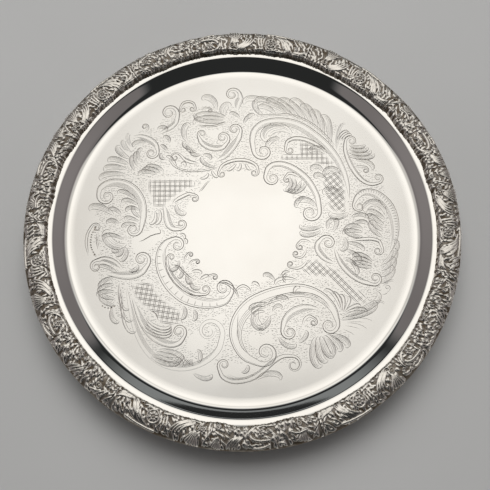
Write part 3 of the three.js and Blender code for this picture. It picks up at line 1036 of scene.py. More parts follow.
    def medallion_edge(self) -> None:
        """The small scrolls and leaves that frame the plain medallion."""
        g = self.graver
        g.scroll([
            (16.2, 40), (18, 45.9), (22, 49.2), (28, 50.3), (35, 48.6), (42, 44.4), (48.4, 38.4),
            (53.4, 30.4), (56.6, 21), (57.2, 12),
        ], 4.8, -1, start=7.2, end=8.8, shades=2)
        g.scroll([(-17.6, 42.6), (-15.6, 47.4), (-9, 51.6), (0, 53), (7.6, 50.9), (12, 47), (12.8, 42.8)],
                 2.6, -1, start=3.7, end=3.9, shades=2)
        g.spray([(-4, 49), (-6, 46), (-9, 43)], [(3, 49), (4, 46), (5, 44)], 3, 1.2, 2)
        g.spray([(34, 38), (39, 32), (33, 26)], [(47, 33), (45, 27), (37, 24)], 4, 1.7)
        g.scroll([(31, 37.5), (34, 41.4), (39.5, 40.4), (43.5, 36)], 2, -1, start=3, shades=1)
        g.leaf([(53, 14), (50, 22), (40, 21)], 2.4, 4)
        g.leaf([(46, 22), (41, 22), (37.6, 16)], 1.8)
        g.spray([(57, 0), (52, -3), (42, -3.5)], [(56, -4), (50, -8), (42, -8)], 2, 1.7, 4)
        g.scroll([(49.5, -13.2), (46, -10.5), (41.8, -10.1), (38.8, -12.8)], 1.6, 1, end=3.4, shades=0)
        g.scroll([(45, -16), (44.4, -21), (41, -24), (37.6, -23.5)], 1.5, -1, end=3, shades=0)
        g.scroll([(46, -24.5), (43.4, -29.4), (38.6, -32), (33.6, -31.2)], 1.7, -1, end=3.2, shades=0)
        g.spray([(33, -34), (29, -32), (27, -35)], [(30, -38), (27, -37), (29, -41)], 3, 0.9, 1)
        g.leaf([(22, -40), (19, -34), (15, -34.5)], 1.6)
        g.leaf([(38, -40), (30, -36), (22, -38.5)], 1.3, 4)
        g.scroll([(-6, -50), (-4.6, -45), (0, -42.4), (4.3, -44.8), (6, -49.5)], 1.6, -1, shades=0)
        g.leaf([(11, -44.5), (10.5, -41), (7, -40.6)], 1.2, 2)
        g.scroll([(-25.5, -38), (-24.2, -35.3), (-21, -34.4)], 1.2, -1, end=2.9, shades=0)
        g.scroll([(-19, -42), (-13, -40.4), (-8.4, -42.6), (-4.4, -47), (-3.2, -53)], 1.6, -1, shades=1)
        g.scroll([(-40.5, -27), (-41.3, -22.5), (-39, -19.3)], 1.2, -1, end=2.6, shades=0)
        g.scroll([(-39, -28.4), (-36.4, -24.6), (-33, -23.6)], 1, -1, end=2.4, shades=0)
        g.spray([(-36, -33), (-33, -31), (-29, -32.5)], [(-30, -39), (-28, -36), (-25, -35)], 2, 1.2, 2)
        g.spray([(-45, -5), (-41, -4), (-40.5, -8)], [(-42, -9), (-39, -8), (-39.5, -12)], 2, 1, 2)
        g.scroll([(-57.5, 18), (-56.6, 11), (-56, 5), (-53.6, -0.2), (-49, -2.8), (-44, -2.3)], 5, 1, end=5)
        g.leaf([(-47, 18), (-49, 11), (-42, 9)], 2, 4)
        g.scroll([(-51, 17.6), (-48, 21.8), (-43.4, 24.8), (-38.4, 26.6), (-34, 25.4)],
                 2.8, -1, end=3.8, shades=2)
        g.line((-32, 26.4), (-28.6, 28.8), (-25.8, 33), (-22.4, 36.4), twin=0.9)
        g.spray([(-31, 38), (-27, 36), (-24, 40)], [(-22, 44), (-21, 40), (-19, 38)], 2, 1.2, 2)

    def engrave(self) -> None:
        """Cut every part, then the matted ground between them."""
        self.medallion_edge()
        self.upper_right()
        self.right()
        self.lower_right()
        self.lower_left()
        self.left()
        self.upper_left()
        self.graver.matting(self.pitch, self.seed)


# ---- The plate ----


@dataclass
class Plate:
    """The spun sheet: field, booge, band and flange, with its engraving.

    Sizes are in millimetres. Heights are measured from the top of the field.
    """

    field_top: float = 21.2  # height of the field above the table
    sheet: float = 1.2  # thickness
    engraved_radius: float = 114.0  # the field is one engraved surface out to here
    flat_radius: float = 119.0  # the field starts to curve up here
    booge_foot: float = 124.6  # the booge starts here
    booge_top: float = 133.8  # the booge ends and the band starts here
    band_radius: float = 136.8  # mean inner edge of the border
    band_slope: float = 8.0  # slope of the band in degrees, rising outwards
    flange_radius: float = 149.8  # the sheet's own edge
    flange_slope: float = 8.0  # slope of the flange under the border in degrees, falling outwards
    top_disc: Pair = (0.41, 0.40)  # middle and radius, on the flat map, of the top
    under_disc: Pair = (0.83, 0.16)  # and of the underside
    under_rings: Pair = (60, 4)  # radii of the underside's rings between its curve and the axis
    around: int = 360  # facets in a full turn
    deep: float = 0.12  # a cut this deep is as dark as a cut gets

    def height(self, radius: Array) -> Array:
        """Return the top of the sheet at each radius.

        The slopes are given in degrees at a few radii. The height is the running sum of the
        slope's tangent, read between them: a broad hollow at the foot of the booge, a nearly
        straight ramp, a tight corner at its top, and a band and a flange that are straight.
        """
        foot, top = self.booge_foot, self.booge_top
        band, flange = self.band_slope, -self.flange_slope
        stations = [
            (0, 0), (self.flat_radius, 0), (foot - 1.6, 4), (foot, 14), (foot + 1.4, 27), (foot + 3.2, 41.2),
            (foot + 4.3, 42.4), (top - 0.9, 43.2), (top, band), (self.band_radius, band),
            (self.band_radius + 1, flange), (self.flange_radius, flange),
        ]
        at, degrees = np.array(stations, float).T
        fine = np.linspace(0, self.flange_radius, 6000)
        slope = np.tan(np.radians(np.interp(fine, at, degrees)))
        rise = np.concatenate([[0], np.cumsum((slope[1:] + slope[:-1]) / 2 * np.diff(fine))])
        return np.interp(radius, fine, rise)

    def profile(self) -> Array:
        """Return the section from the engraved surface out over the top and back under it.

        Returns:
            Rows of radius and height. The last row is near the axis.
        """
        stretches = [
            (self.engraved_radius, self.flat_radius, 1), (self.flat_radius, self.booge_foot, 6),
            (self.booge_foot, self.booge_top, 18), (self.booge_top, self.band_radius, 3),
            (self.band_radius, self.flange_radius, 2),
        ]
        steps = [np.linspace(a, b, n, endpoint=False) for a, b, n in stretches]
        radius = np.concatenate([*steps, [self.flange_radius]])
        height = self.height(radius)
        slope = np.gradient(height, radius)
        scale = self.sheet / np.hypot(1, slope)
        under_radius = radius + slope * scale
        under_height = height - scale
        inner = np.array([[ring, -self.sheet] for ring in self.under_rings])
        top = np.stack([radius, height], axis=1)
        under = np.stack([under_radius, under_height], axis=1)[::-1][::3]
        return np.concatenate([top, under, inner])

    def shell(self) -> Shell:
        """Return the whole plate as one closed surface."""
        profile = self.profile()
        radius, height = profile.T[..., None]
        turned = round_axis(radius, angles(self.around), height + self.field_top).reshape(-1, 3)
        walls = grid_faces(len(profile), self.around)[:, ::-1]
        ring = turned[: self.around]
        graver = Graver()
        Ornament(graver).engrave()
        places, triangles, depth = graver.surface(ring[:, :2])
        centre_under = np.array([[0, 0, self.field_top - self.sheet]])
        field_points = np.column_stack([places, self.field_top - depth])[self.around :]
        points = np.concatenate([turned, centre_under, field_points])
        moved = np.where(triangles < self.around, triangles, triangles - self.around + len(turned) + 1)
        number = np.arange(self.around)
        after = (number + 1) % self.around
        last = (len(profile) - 1) * self.around
        hub = np.full(self.around, len(turned))
        cap_under = np.stack([hub, last + after, last + number], axis=1)
        cut = np.zeros(len(points))
        cut[len(turned) + 1 :] = np.clip(depth[self.around :] / self.deep, 0, 1)
        reach = np.hypot(points[:, 0], points[:, 1])
        mirror = np.clip((reach - self.flat_radius) / (self.booge_foot - self.flat_radius), 0, 1)
        marks = {"cut": cut, "mirror": mirror}
        log.info("%d cuts, %d triangles in the field", len(graver.cuts), len(moved))
        maps = self.flat_maps(profile, points, walls, moved, cap_under)
        return Shell(points, [walls, moved, cap_under], [True, False, False], marks, maps)

    def flat_maps(
        self, profile: Array, points: Array, walls: Array, field_faces: Array,
        hub: Array,
    ) -> list[Array]:
        """Lay the plate's faces flat: one disc for all above the edge, and one for below.

        Distances from a disc's middle go as those from the axis along the section, so that
        upright walls have width too.

        Args:
            profile: Rows of radius and height.
            points: The plate's points.
            walls: Faces between the profile's rows, row by row.
            field_faces: The engraved triangles.
            hub: The triangles round the axis underneath.

        Returns:
            For each array of faces, the places of its corners.
        """
        above = self.engraved_radius + lengths(profile)
        below = profile[-1, 0] + lengths(profile[::-1])[::-1]
        edge = int(np.argmax(profile[:, 0]))
        angle = np.arctan2(points[:, 1], points[:, 0])
        way = np.stack([np.cos(angle), np.sin(angle)], axis=1)
        row = np.arange(len(walls))[:, None] // self.around
        on_top = row < edge
        (top, top_size), (under, under_size) = self.top_disc, self.under_disc
        top_scale, under_scale = top_size / above[edge], under_size / below[edge]
        ring = walls // self.around
        reach = np.where(on_top, above[ring] * top_scale, below[ring] * under_scale)
        middle = np.where(on_top, top, under)[..., None]
        flat_top = top + points[field_faces][..., :2] * top_scale
        flat_under = under + points[hub][..., :2] * under_scale
        return [middle + way[walls] * reach[..., None], flat_top, flat_under]

    def build(self) -> None:
        """Make the plate."""
        made = self.shell().piece("engraved_plate")
        finish_piece(made, ENGRAVED.make(), "polished_silver", "plate")


# ---- The stamped border ----


def dome(share: Array) -> Array:
    """Return the height of a half circle of radius 1 at each share of its radius, or 0 past it."""
    return np.sqrt(np.clip(1 - share**2, 0, 1))


class Relief:
    """A height map over a strip of border, in millimetres, on a grid of two parameters."""

    def __init__(self, along: Array, across: Array) -> None:
        """Start with flat ground.

        Args:
            along: Place of each row along the strip.
            across: Place of each column, from the inner edge.
        """
        self.along = along
        self.across = across
        self.height = np.zeros((len(along), len(across)))

    def raise_patch(self, low: Array, high: Array, shape: Callable) -> None:
        """Raise the ground wherever a shape stands above it.

        Args:
            low: Lowest place along and across that it reaches.
            high: Highest place along and across that it reaches.
            shape: A function from places along and across to heights.
        """
        i0, i1 = np.searchsorted(self.along, (low[0], high[0]))
        columns = np.flatnonzero((self.across >= low[1]) & (self.across <= high[1]))
        if i1 <= i0 or not len(columns):
            return
        part = np.ix_(np.arange(i0, i1), columns)
        x, y = np.meshgrid(self.along[i0:i1], self.across[columns], indexing="ij")
        self.height[part] = np.maximum(self.height[part], shape(x, y))

    @staticmethod
    def nearest(path: Array, x: Array, y: Array) -> tuple:
        """Find how each place lies to a path.

        Args:
            path: The path's points.
            x: Places along the strip.
            y: The same places across it.

        Returns:
            Its distance, the share of the path that it is at, and which side it is on.
        """
        start, step = path[:-1], np.diff(path, axis=0)
        square = np.maximum((step**2).sum(axis=1), 1e-9)
        dx, dy = x[..., None] - start[:, 0], y[..., None] - start[:, 1]
        share = np.clip((dx * step[:, 0] + dy * step[:, 1]) / square, 0, 1)
        off_x, off_y = dx - share * step[:, 0], dy - share * step[:, 1]
        gap = np.hypot(off_x, off_y)
        near = gap.argmin(axis=-1)[..., None]
        side = off_x * step[:, 1] - off_y * step[:, 0]
        gap, share, side = (np.take_along_axis(a, near, -1)[..., 0] for a in (gap, share, side))
        return gap, (near[..., 0] + share) / len(start), side

    def frond(self, stations: Sequence, width: float, height: float, grooves: int = 0) -> None:
        """Raise a leaf along a curve.

        Its half width is width * (4 t (1 - t)) ** 0.6, with t from 0 to 1 along the curve, and
        its section is an arc on a small step, with a crease down its middle or with grooves.

        Args:
            stations: The curve's control points.
            width: Half of its greatest width.
            height: Of its crown.
            grooves: How many grooves run along it.
        """
        path = smooth_path(stations, 14)

        def shape(x: Array, y: Array) -> Array:
            """Height of the leaf over each place."""
            distance, t, side = self.nearest(path, x, y)
            half = width * np.maximum(4 * t * (1 - t), 0.04) ** 0.6
            u = np.clip(distance / half, 0, 1)
            body = 0.25 + 0.75 * np.sqrt(1 - u**3)
            if grooves:
                body = body - 0.10 * (1 - np.cos(TURN * grooves * (u * np.sign(side) + 1) / 2))
            else:
                body = body - 0.16 * np.exp(-((u / 0.2) ** 2))
            body = body * (0.62 + 0.38 * np.sin(math.pi * t))
            return np.where(distance < half, body * height, 0)

        self.raise_patch(path.min(axis=0) - width, path.max(axis=0) + width, shape)

    def disc(self, centre: Array, radius: float, shape: Callable) -> None:
        """Raise a round motif.

        Args:
            centre: Its middle.
            radius: Its reach.
            shape: A function from the share of the radius and the angle to a height.
        """
        middle = np.ravel(centre)

        def spot(x: Array, y: Array) -> Array:
            """Height of the motif over each place."""
            share = np.hypot(x - middle[0], y - middle[1]) / radius
            angle = np.arctan2(y - middle[1], x - middle[0])
            return np.where(share < 1, shape(share, angle), 0)

        self.raise_patch(middle - radius, middle + radius, spot)

    def flower(self, centre: Array, radius: float, petals: int, height: float) -> None:
        """Raise a flower: petals |cos(n a / 2)| high round a domed eye in a ring."""

        def shape(share: Array, angle: Array) -> Array:
            """Petals outside a third of the radius, an eye inside it."""
            lobe = np.abs(np.cos(petals * angle / 2)) ** 0.6
            reach = 0.72 + 0.28 * lobe
            petal = np.where(share < reach, 0.45 + 0.4 * lobe * np.sin(math.pi * share / reach), 0)
            eye = dome(share / 0.26)
            moat = np.exp(-(((share - 0.31) / 0.06) ** 2))
            return height * np.maximum(petal - 0.4 * moat, eye)

        self.disc(centre, radius, shape)

    def ring(self, centre: Array, radius: float, height: float) -> None:
        """Raise a round wire ring with a bead in it."""

        def shape(share: Array, angle: Array) -> Array:
            """A half-round ring at four fifths of the radius, and a domed bead."""
            return height * np.maximum(dome((share - 0.78) / 0.22), 0.9 * dome(share / 0.34))

        self.disc(centre, radius, shape)

    def fan(self, apex: Array, aim: float, spread: float, reach: float, ribs: int) -> None:
        """Raise a shell: round ribs that open from an apex, with a scalloped edge.

        Args:
            apex: Where the ribs meet.
            aim: Direction of the middle rib, in degrees.
            spread: Angle between the outer ribs' far sides, in degrees.
            reach: Length of the ribs.
            ribs: How many there are.
        """

        def shape(share: Array, angle: Array) -> Array:
            """Ribs are |cos| across the spread and rise towards the edge."""
            turn = (np.degrees(angle) - aim + 180) % 360 - 180
            across = turn / spread + 0.5
            rib = np.abs(np.sin(math.pi * ribs * across)) ** 0.7
            edge = 0.90 + 0.10 * rib
            inside = (np.abs(turn) < spread / 2) & (share < edge) & (share > 0.1)
            return np.where(inside, (0.5 + 0.75 * rib) * (0.6 + 0.7 * share), 0)

        self.disc(apex, reach, shape)

    def strap(self, stations: Sequence, width: float, height: float) -> None:
        """Raise a plain bright strap: a flat-topped band of even width along a curve."""
        path = smooth_path(stations, 16)

        def shape(x: Array, y: Array) -> Array:
            """Height falls as the fourth power of the share of the half width."""
            distance = self.nearest(path, x, y)[0]
            return height * np.clip(1 - (distance / width) ** 4, 0, 1) ** 0.5

        self.raise_patch(path.min(axis=0) - width, path.max(axis=0) + width, shape)

    def fronds(self, count: int, width: float, height: float, first: Sequence, last: Sequence) -> None:
        """Raise a run of fronds whose curves change evenly from a first to a last.

        Args:
            count: How many there are.
            width: Half of the greatest width of each.
            height: Of their crowns; those of the second half are a little lower.
            first: The first curve's control points.
            last: The last curve's control points.
        """
        first, last = np.asarray(first, float), np.asarray(last, float)
        for share in np.linspace(0, 1, count):
            self.frond(first + (last - first) * share, width, height * (1 - 0.15 * (share > 0.5)))

    def hollows(self) -> Array:
        """Return 1 where the relief lies well under its surroundings and 0 on its crests.

        The surroundings are the height averaged with its neighbours many times over.
        """
        soft = self.height.copy()
        for _ in range(10):
            soft[1:-1] = (soft[:-2] + 2 * soft[1:-1] + soft[2:]) / 4
            soft[:, 1:-1] = (soft[:, :-2] + 2 * soft[:, 1:-1] + soft[:, 2:]) / 4
        below = (soft - self.height) / 0.32
        ground = 1 - self.height / 0.55
        return np.clip(np.maximum(below, ground), 0, 1)


class Pattern(Enum):
    """The two patterns that alternate round the border, and the short closing one."""

    A = "a"
    B = "b"
    CLOSING = "closing"


@dataclass
class Border:
    """The ring of stamped sections.

    Lengths are in millimetres. Places in a pattern are given as degrees from its large rosette
    and millimetres from the inner edge.
    """

    field_top: float = 21.2  # height of the field above the table
    radius: float = 152.9  # outer radius
    inner: float = 136.8  # mean inner radius
    mean: float = 145.0  # radius at which a degree is turned into a length
    span: float = 55.1  # degrees in a full section
    first: float = 68.9  # degrees where the first full section starts
    rosette: float = 11.7  # degrees from a section's start to its large rosette
    gap: float = 0.3  # width of the solder line between sections
    cell: float = 0.27  # size of a grid cell
    depth: float = 0.78  # share of each motif's height that the stamping keeps
    plain_foot: float = 1.4  # height of the smooth wall at the foot of the inner edge
    proud: float = 0.8  # how far leaves may stand out past the outer radius
    seed: int = 40  # for the first section's small leaves; each next section has one more

    def degrees_long(self) -> float:
        """Return the length of one degree at the mean radius."""
        return math.radians(self.mean)

    def ground(self) -> Array:
        """Return the section's face from the band, over the crown, to the lip's foot.

        Returns:
            Rows of distance out from the inner edge and height above the field, with the
            corners rounded by a curve through them and evenly spaced along it.
        """
        corners = [(0, 8.5), (0.1, 10.3), (1.0, 11.2), (4, 11.8), (8, 12.0), (11.8, 11.5)]
        corners = np.array([*corners, (14.2, 10.3), (15.0, 8.7), (14.8, 6.6), (14.5, 5.0)])
        reach = lengths(corners)
        even = np.linspace(0, reach[-1], int(reach[-1] / self.cell))
        line = np.stack([np.interp(even, reach, column) for column in corners.T], axis=1)
        for _ in range(16):
            line[1:-1] = (line[:-2] + 2 * line[1:-1] + line[2:]) / 4
        return line

    def lobes(self, pattern: Pattern) -> list[tuple[float, float, float]]:
        """Return the inner edge's lobes as (degrees, width in degrees, reach inwards)."""
        shared = [(-3, 2.5, 0.3), (1, 3, 0.2), (9, 3, 0.5)]
        if pattern is Pattern.A:
            return [*shared, (34.5, 3.6, 0.9), (42.8, 1.5, -0.8)]
        if pattern is Pattern.B:
            return [*shared, (17, 3, 1.2), (23, 2, -0.9), (35.5, 4, 1.4), (42.5, 1.5, -0.7)]
        return [(3, 13, 1.5), (9, 2, 0.4), (-3, 2, 0.3)]

    def inner_edge(self, pattern: Pattern, degrees: Array) -> Array:
        """Return the inner radius: the mean less a Gaussian hump for each lobe."""
        edge = np.full_like(degrees, self.inner)
        for at, wide, reach in self.lobes(pattern):
            edge = edge - reach * np.exp(-(((degrees - at) / wide) ** 2))
        return edge - 0.12 * np.sin(degrees * 3.1) - 0.10 * np.sin(degrees * 7.3)

    # The pattern's parts

    def place(self, *stations: Pair) -> Array:
        """Turn (degrees, millimetres) into places on the relief, in millimetres."""
        return np.array(stations, float) * (self.degrees_long(), 1.0)

    def rosette_group(self, relief: Relief) -> None:
        """The large ringed rosette with the acanthus that curls round it."""
        r, p = relief, self.place
        r.strap(p((-6.6, 13.2), (-3, 14.6), (1.4, 14.4)), 0.75, 1.5)
        r.disc(p((0, 6.4)), 4.7, lambda share, _: 1.25 * dome((share - 0.86) / 0.14))
        r.flower(p((0, 6.4)), 3.5, 7, 1.75)
        r.fronds(4, 0.85, 1.5, p((-0.6, 12.9), (-3.4, 11.6), (-3.9, 4)),
                 p((-1.5, 13.2), (-7.5, 12.6), (-4.9, 1)))
        r.fronds(2, 0.7, 1.3, p((-2.6, 3.6), (-1.6, 1.2), (1.4, 1.2)),
                 p((-3.6, 2.6), (-2.2, 0.2), (2.2, 0.5)))
        r.fronds(3, 0.8, 1.35, p((1.4, 12.4), (2.6, 9.5), (2.2, 5)), p((3.9, 13.6), (4.2, 9), (3.2, 1.4)))
        r.ring(p((2.8, 4.6)), 1.3, 1.2)
        r.frond(p((2.2, 2.8), (3.2, 0.9), (5.2, 1.2)), 0.9, 1.2)

    def hooked_fronds(self, relief: Relief) -> None:
        """Long parallel fronds that sweep down from the outer edge and hook round, and a shell."""
        r, p = relief, self.place
        r.fronds(4, 0.8, 1.5, p((5, 13.6), (4.6, 5), (8.2, 2), (10.2, 1)),
                 p((7.6, 11), (7.4, 6.5), (9.2, 4.4), (11.2, 2.9)))
        r.fan(p((11.6, 5.2)), 108, 62, 10.4, 6)
        r.ring(p((11.9, 4.6)), 2.1, 1.5)
        r.frond(p((9.4, 1.2), (11.5, 0.3), (13.2, 2.2)), 0.8, 1.2)

    def spray(self, relief: Relief) -> None:
        """The V-shaped spray and the acanthus that sweep from the inner edge to the outer."""
        r, p = relief, self.place
        r.fronds(4, 0.72, 1.4, p((-11.2, 6.6), (-9.8, 2.6), (-7.2, 3.4)),
                 p((-11, 2.2), (-9, 0.2), (-6.4, 1.6)))
        r.frond(p((-8.6, 4.2), (-7.4, 5.2), (-7.9, 8.2)), 1.3, 1.6, 2)
        r.fronds(3, 0.75, 1.3, p((-8.6, 7.2), (-7.4, 9.4), (-6.4, 13.8)),
                 p((-10.8, 8.4), (-9.6, 10.4), (-8.6, 14.6)))
        r.fronds(4, 0.8, 1.55, p((-6.6, 0.8), (-6.2, 7.6), (-2.6, 11.8)),
                 p((-4.9, 0.6), (-5.4, 6), (-2.2, 10.2)))
        r.frond(p((-6.9, 4.4), (-6.6, 9.6), (-3.8, 12.9)), 0.9, 1.3)

    def arc_and_flower(self, relief: Relief, at: float) -> None:
        """A bright plain arc over a ringed flower, with a short strap at the outer edge."""
        r, p = relief, self.place
        r.strap(p((at - 2.4, 6.8), (at - 2.2, 10.9), (at + 2.2, 10.2)), 1.15, 1.9)
        r.strap(p((at - 1.6, 14.2), (at + 0.4, 14.9), (at + 2.2, 12.9)), 0.7, 1.4)
        r.flower(p((at + 0.3, 5)), 2.9, 6, 1.5)
        r.ring(p((at + 2.2, 4.2)), 1.3, 1.2)
        r.fronds(3, 0.75, 1.3, p((at - 3.4, 10), (at - 4, 6), (at - 2.8, 1.4)),
                 p((at - 2.6, 6), (at - 2.6, 2.4), (at - 0.4, 1)))
        r.fronds(3, 0.6, 1.1, p((at - 3.6, 14.6), (at - 3.2, 12.6), (at - 2.4, 11.8)),
                 p((at - 1.2, 13.2), (at - 0.8, 12.4), (at + 0.8, 12.2)))
        r.frond(p((at - 1, 1.8), (at + 1, 0.6), (at + 2.8, 1.6)), 0.8, 1.2)

    def leaf_clumps(self, relief: Relief, height: float, *clumps: tuple) -> None:
        """Raise clumps of three overlapping lobes of a leaf, the middle one longest.

        Args:
            relief: Where they are raised.
            height: Of their crowns.
            clumps: For each, the degrees of its root, the root's distance from the inner edge,
                and the direction of growth in degrees, with 90 straight outwards.
        """
        for at, across, lean in clumps:
            root = self.place((at, across))[0]
            for turn, length in ((-42, 3.4), (42, 3.4), (0, 4.6)):
                angle = math.radians(lean + turn)
                tip = root + length * np.array([math.cos(angle), math.sin(angle)])
                bow = 0.9 * np.array([-math.sin(angle), math.cos(angle)]) * (1 if turn >= 0 else -1)
                relief.frond([root, (root + tip) / 2 + bow, tip], 1.05, height, 2 if turn == 0 else 0)

    def filling(self, relief: Relief, start: float, stop: float, seed: int) -> None:
        """Small leaves close together under everything else, so that no bare ground shows."""
        rng = np.random.default_rng(seed)
        for column in np.arange(start, stop, 1.25):
            for row in np.arange(1.4, 15, 3):
                lean = 65 + 40 * math.sin(column * 0.55 + row * 0.2) + rng.uniform(-28, 28)
                angle = math.radians(lean)
                root = self.place((column + rng.uniform(-0.4, 0.4), row + rng.uniform(-0.8, 0.8)))[0]
                length = rng.uniform(3, 5.2)
                ahead = np.array([math.cos(angle), math.sin(angle)])
                aside = np.array([-ahead[1], ahead[0]]) * rng.uniform(-1.6, 1.6)
                stations = [root - ahead * length / 2, root + aside, root + ahead * length / 2]
                relief.frond(stations, rng.uniform(0.75, 1.1), rng.uniform(0.7, 1))

    def pattern_a(self, relief: Relief) -> None:
        """The first pattern's middle: an arc, clumps of leaves and a ringed eye."""
        r, p = relief, self.place
        self.arc_and_flower(relief, 18.6)
        self.leaf_clumps(relief, 1.5, (22.2, 3, 60), (22.6, 8, 80), (24.6, 2.4, 95), (25.2, 7.2, 60),
                         (23.2, 11.6, 40), (27.6, 6.4, 75), (26.8, 10.6, 50))
        r.flower(p((29.3, 3.1)), 2.5, 5, 1.5)
        r.ring(p((31.4, 2.2)), 1.4, 1.2)
        r.fronds(4, 0.75, 1.4, p((29, 15), (30, 11), (31.6, 8)), p((31.4, 14.8), (33.4, 11), (33.4, 6)))
        self.leaf_clumps(relief, 1.7, (33.6, 8.6, 110), (33, 1.4, 70), (35.4, 1.2, 80), (37.2, 1.8, 100),
                         (34.6, 5, 45), (36.4, 12.4, 30))
        r.ring(p((38.8, 8.6)), 2, 1.5)
        r.flower(p((40.6, 3.9)), 2.3, 5, 1.4)
        r.fronds(4, 0.72, 1.3, p((36.2, 15), (38, 12.6), (39.4, 11.6)),
                 p((40.2, 14.8), (41.4, 11), (41.8, 6.2)))
        r.fronds(3, 0.7, 1.3, p((41.6, 14.8), (42.6, 11), (43.4, 8)), p((42.4, 5), (43.2, 3), (44.4, 1.4)))

    def pattern_b(self, relief: Relief) -> None:
        """The second pattern's middle: a second shell, small flowers and a later arc."""
        r, p = relief, self.place
        r.fan(p((17.4, 7.8)), 104, 62, 7.6, 5)
        r.flower(p((13.4, 5)), 2.2, 5, 1.5)
        r.flower(p((17.1, 3)), 2.1, 5, 1.5)
        r.flower(p((20.2, 3.4)), 1.9, 5, 1.4)
        r.fronds(3, 0.7, 1.3, p((13.6, 14.8), (14.4, 11), (14.6, 7.4)), p((15.2, 8), (15.6, 5.4), (15.4, 2)))
        r.fronds(4, 0.75, 1.45, p((19.6, 15), (19.6, 10), (22.2, 6.6)), p((21.6, 15), (21.8, 10), (24.2, 6)))
        self.leaf_clumps(relief, 1.5, (21.8, 2, 60), (23.6, 3, 75), (24, 9.6, 60))
        self.arc_and_flower(relief, 27.9)
        self.leaf_clumps(relief, 1.6, (31.4, 8.2, 80), (32.6, 2.2, 70), (33.4, 6, 50), (34.6, 1.6, 90),
                         (36.6, 1.8, 100), (32.4, 11.8, 20))
        r.strap(p((36, 8), (37.2, 10.6), (39.6, 8.6)), 0.8, 1.5)
        r.fan(p((39.4, 6.4)), 116, 60, 8.8, 5)
        r.ring(p((38.4, 4)), 1.8, 1.4)
        r.flower(p((41.2, 3.6)), 2.1, 5, 1.4)
        r.fronds(3, 0.7, 1.3, p((40.6, 14.8), (42.2, 11), (42.8, 8)), p((42.2, 6), (43.2, 3.6), (44.4, 2)))

    def section(self, pattern: Pattern, start: float, span: float, seed: int) -> Shell:
        """Return one section as a closed surface.

        The face is the ground's curve carried round the rim, with each point moved out along
        the curve's own normal by the relief's height. The back follows the flange.

        Args:
            pattern: Which pattern it bears.
            start: Degrees where it starts.
            span: Degrees that it covers.
            seed: For the small leaves between its motifs.

        Returns:
            The surface.
        """
        trim = math.degrees(self.gap / 2 / self.radius)
        count = int(span * self.degrees_long() / self.cell)
        degrees = np.linspace(trim, span - trim, count) - self.rosette
        ground = self.ground()
        out = ground[:, 0] * (self.radius - self.inner) / ground[:, 0].max()
        relief = Relief(degrees * self.degrees_long(), out + np.linspace(0, 0.2, len(out)))
        self.filling(relief, degrees[0] - 1, degrees[-1] + 1, seed)
        self.spray(relief)
        self.rosette_group(relief)
        self.hooked_fronds(relief)
        if pattern is Pattern.A:
            self.pattern_a(relief)
        elif pattern is Pattern.B:
            self.pattern_b(relief)
        slope = np.gradient(ground, axis=0)
        normal = np.stack([-slope[:, 1], slope[:, 0]], axis=1) / np.hypot(*slope.T)[:, None]
        climb = np.clip((ground[:, 1] - ground[0, 1]) / self.plain_foot - 0.4, 0, 1)
        fade = np.minimum(climb, np.clip((len(out) - 1 - np.arange(len(out))) / 4, 0, 1))
        lift = relief.height * fade * self.depth
        edge = self.inner_edge(pattern, degrees)
        width = (self.radius - edge) / ground[:, 0].max()
        radius = edge[:, None] + ground[:, 0] * width[:, None] + lift * normal[:, 0]
        height = ground[:, 1] + lift * normal[:, 1]
        back = np.array([(150.2, 5.0), (150.1, 6.5), (146, 7.05), (142, 7.6), (138.6, 8.1)])
        rows = np.broadcast_to(back[:, 0], (count, len(back)))
        radius = np.concatenate([np.minimum(radius, self.radius + self.proud), rows], axis=1)
        height = np.concatenate([height, np.broadcast_to(back[:, 1], (count, len(back)))], axis=1)
        angle = np.radians(degrees + start + self.rosette)[:, None]
        points = round_axis(radius, angle, height + self.field_top)
        hollow = np.concatenate([relief.hollows(), np.full((count, len(back)), 0.5)], axis=1)
        return loft(points, hollow)

    def build(self) -> None:
        """Make all seven sections."""
        finish = STAMPED.make()
        names = [f"{p.value}_{i}" for i in (1, 2, 3) for p in (Pattern.A, Pattern.B)]
        for index, name in enumerate([*names, "closing"]):
            pattern = Pattern(name.split("_")[0])
            start = self.first + index * self.span
            span = self.span if pattern is not Pattern.CLOSING else 360 - 6 * self.span
            made = self.section(pattern, start, span, seed=self.seed + index).piece(f"stamped_border_{name}")
            finish_piece(made, finish, "antiqued_silver", f"border_{name}")


# ---- The feet and the wire ----


def oval_plate(outline: Array, section: Sequence[Pair]) -> Shell:
    """Return a thin plate whose edge follows a section.

    Args:
        outline: Its edge seen from above.
        section: From the bottom to the top, the share of the outline and the height.
    """
    share, height = np.array(section, float).T
    flat = outline[None] * share[:, None, None]
    tall = np.broadcast_to(height[:, None, None], (*flat.shape[:2], 1))
    return loft(np.concatenate([flat, tall], axis=2))


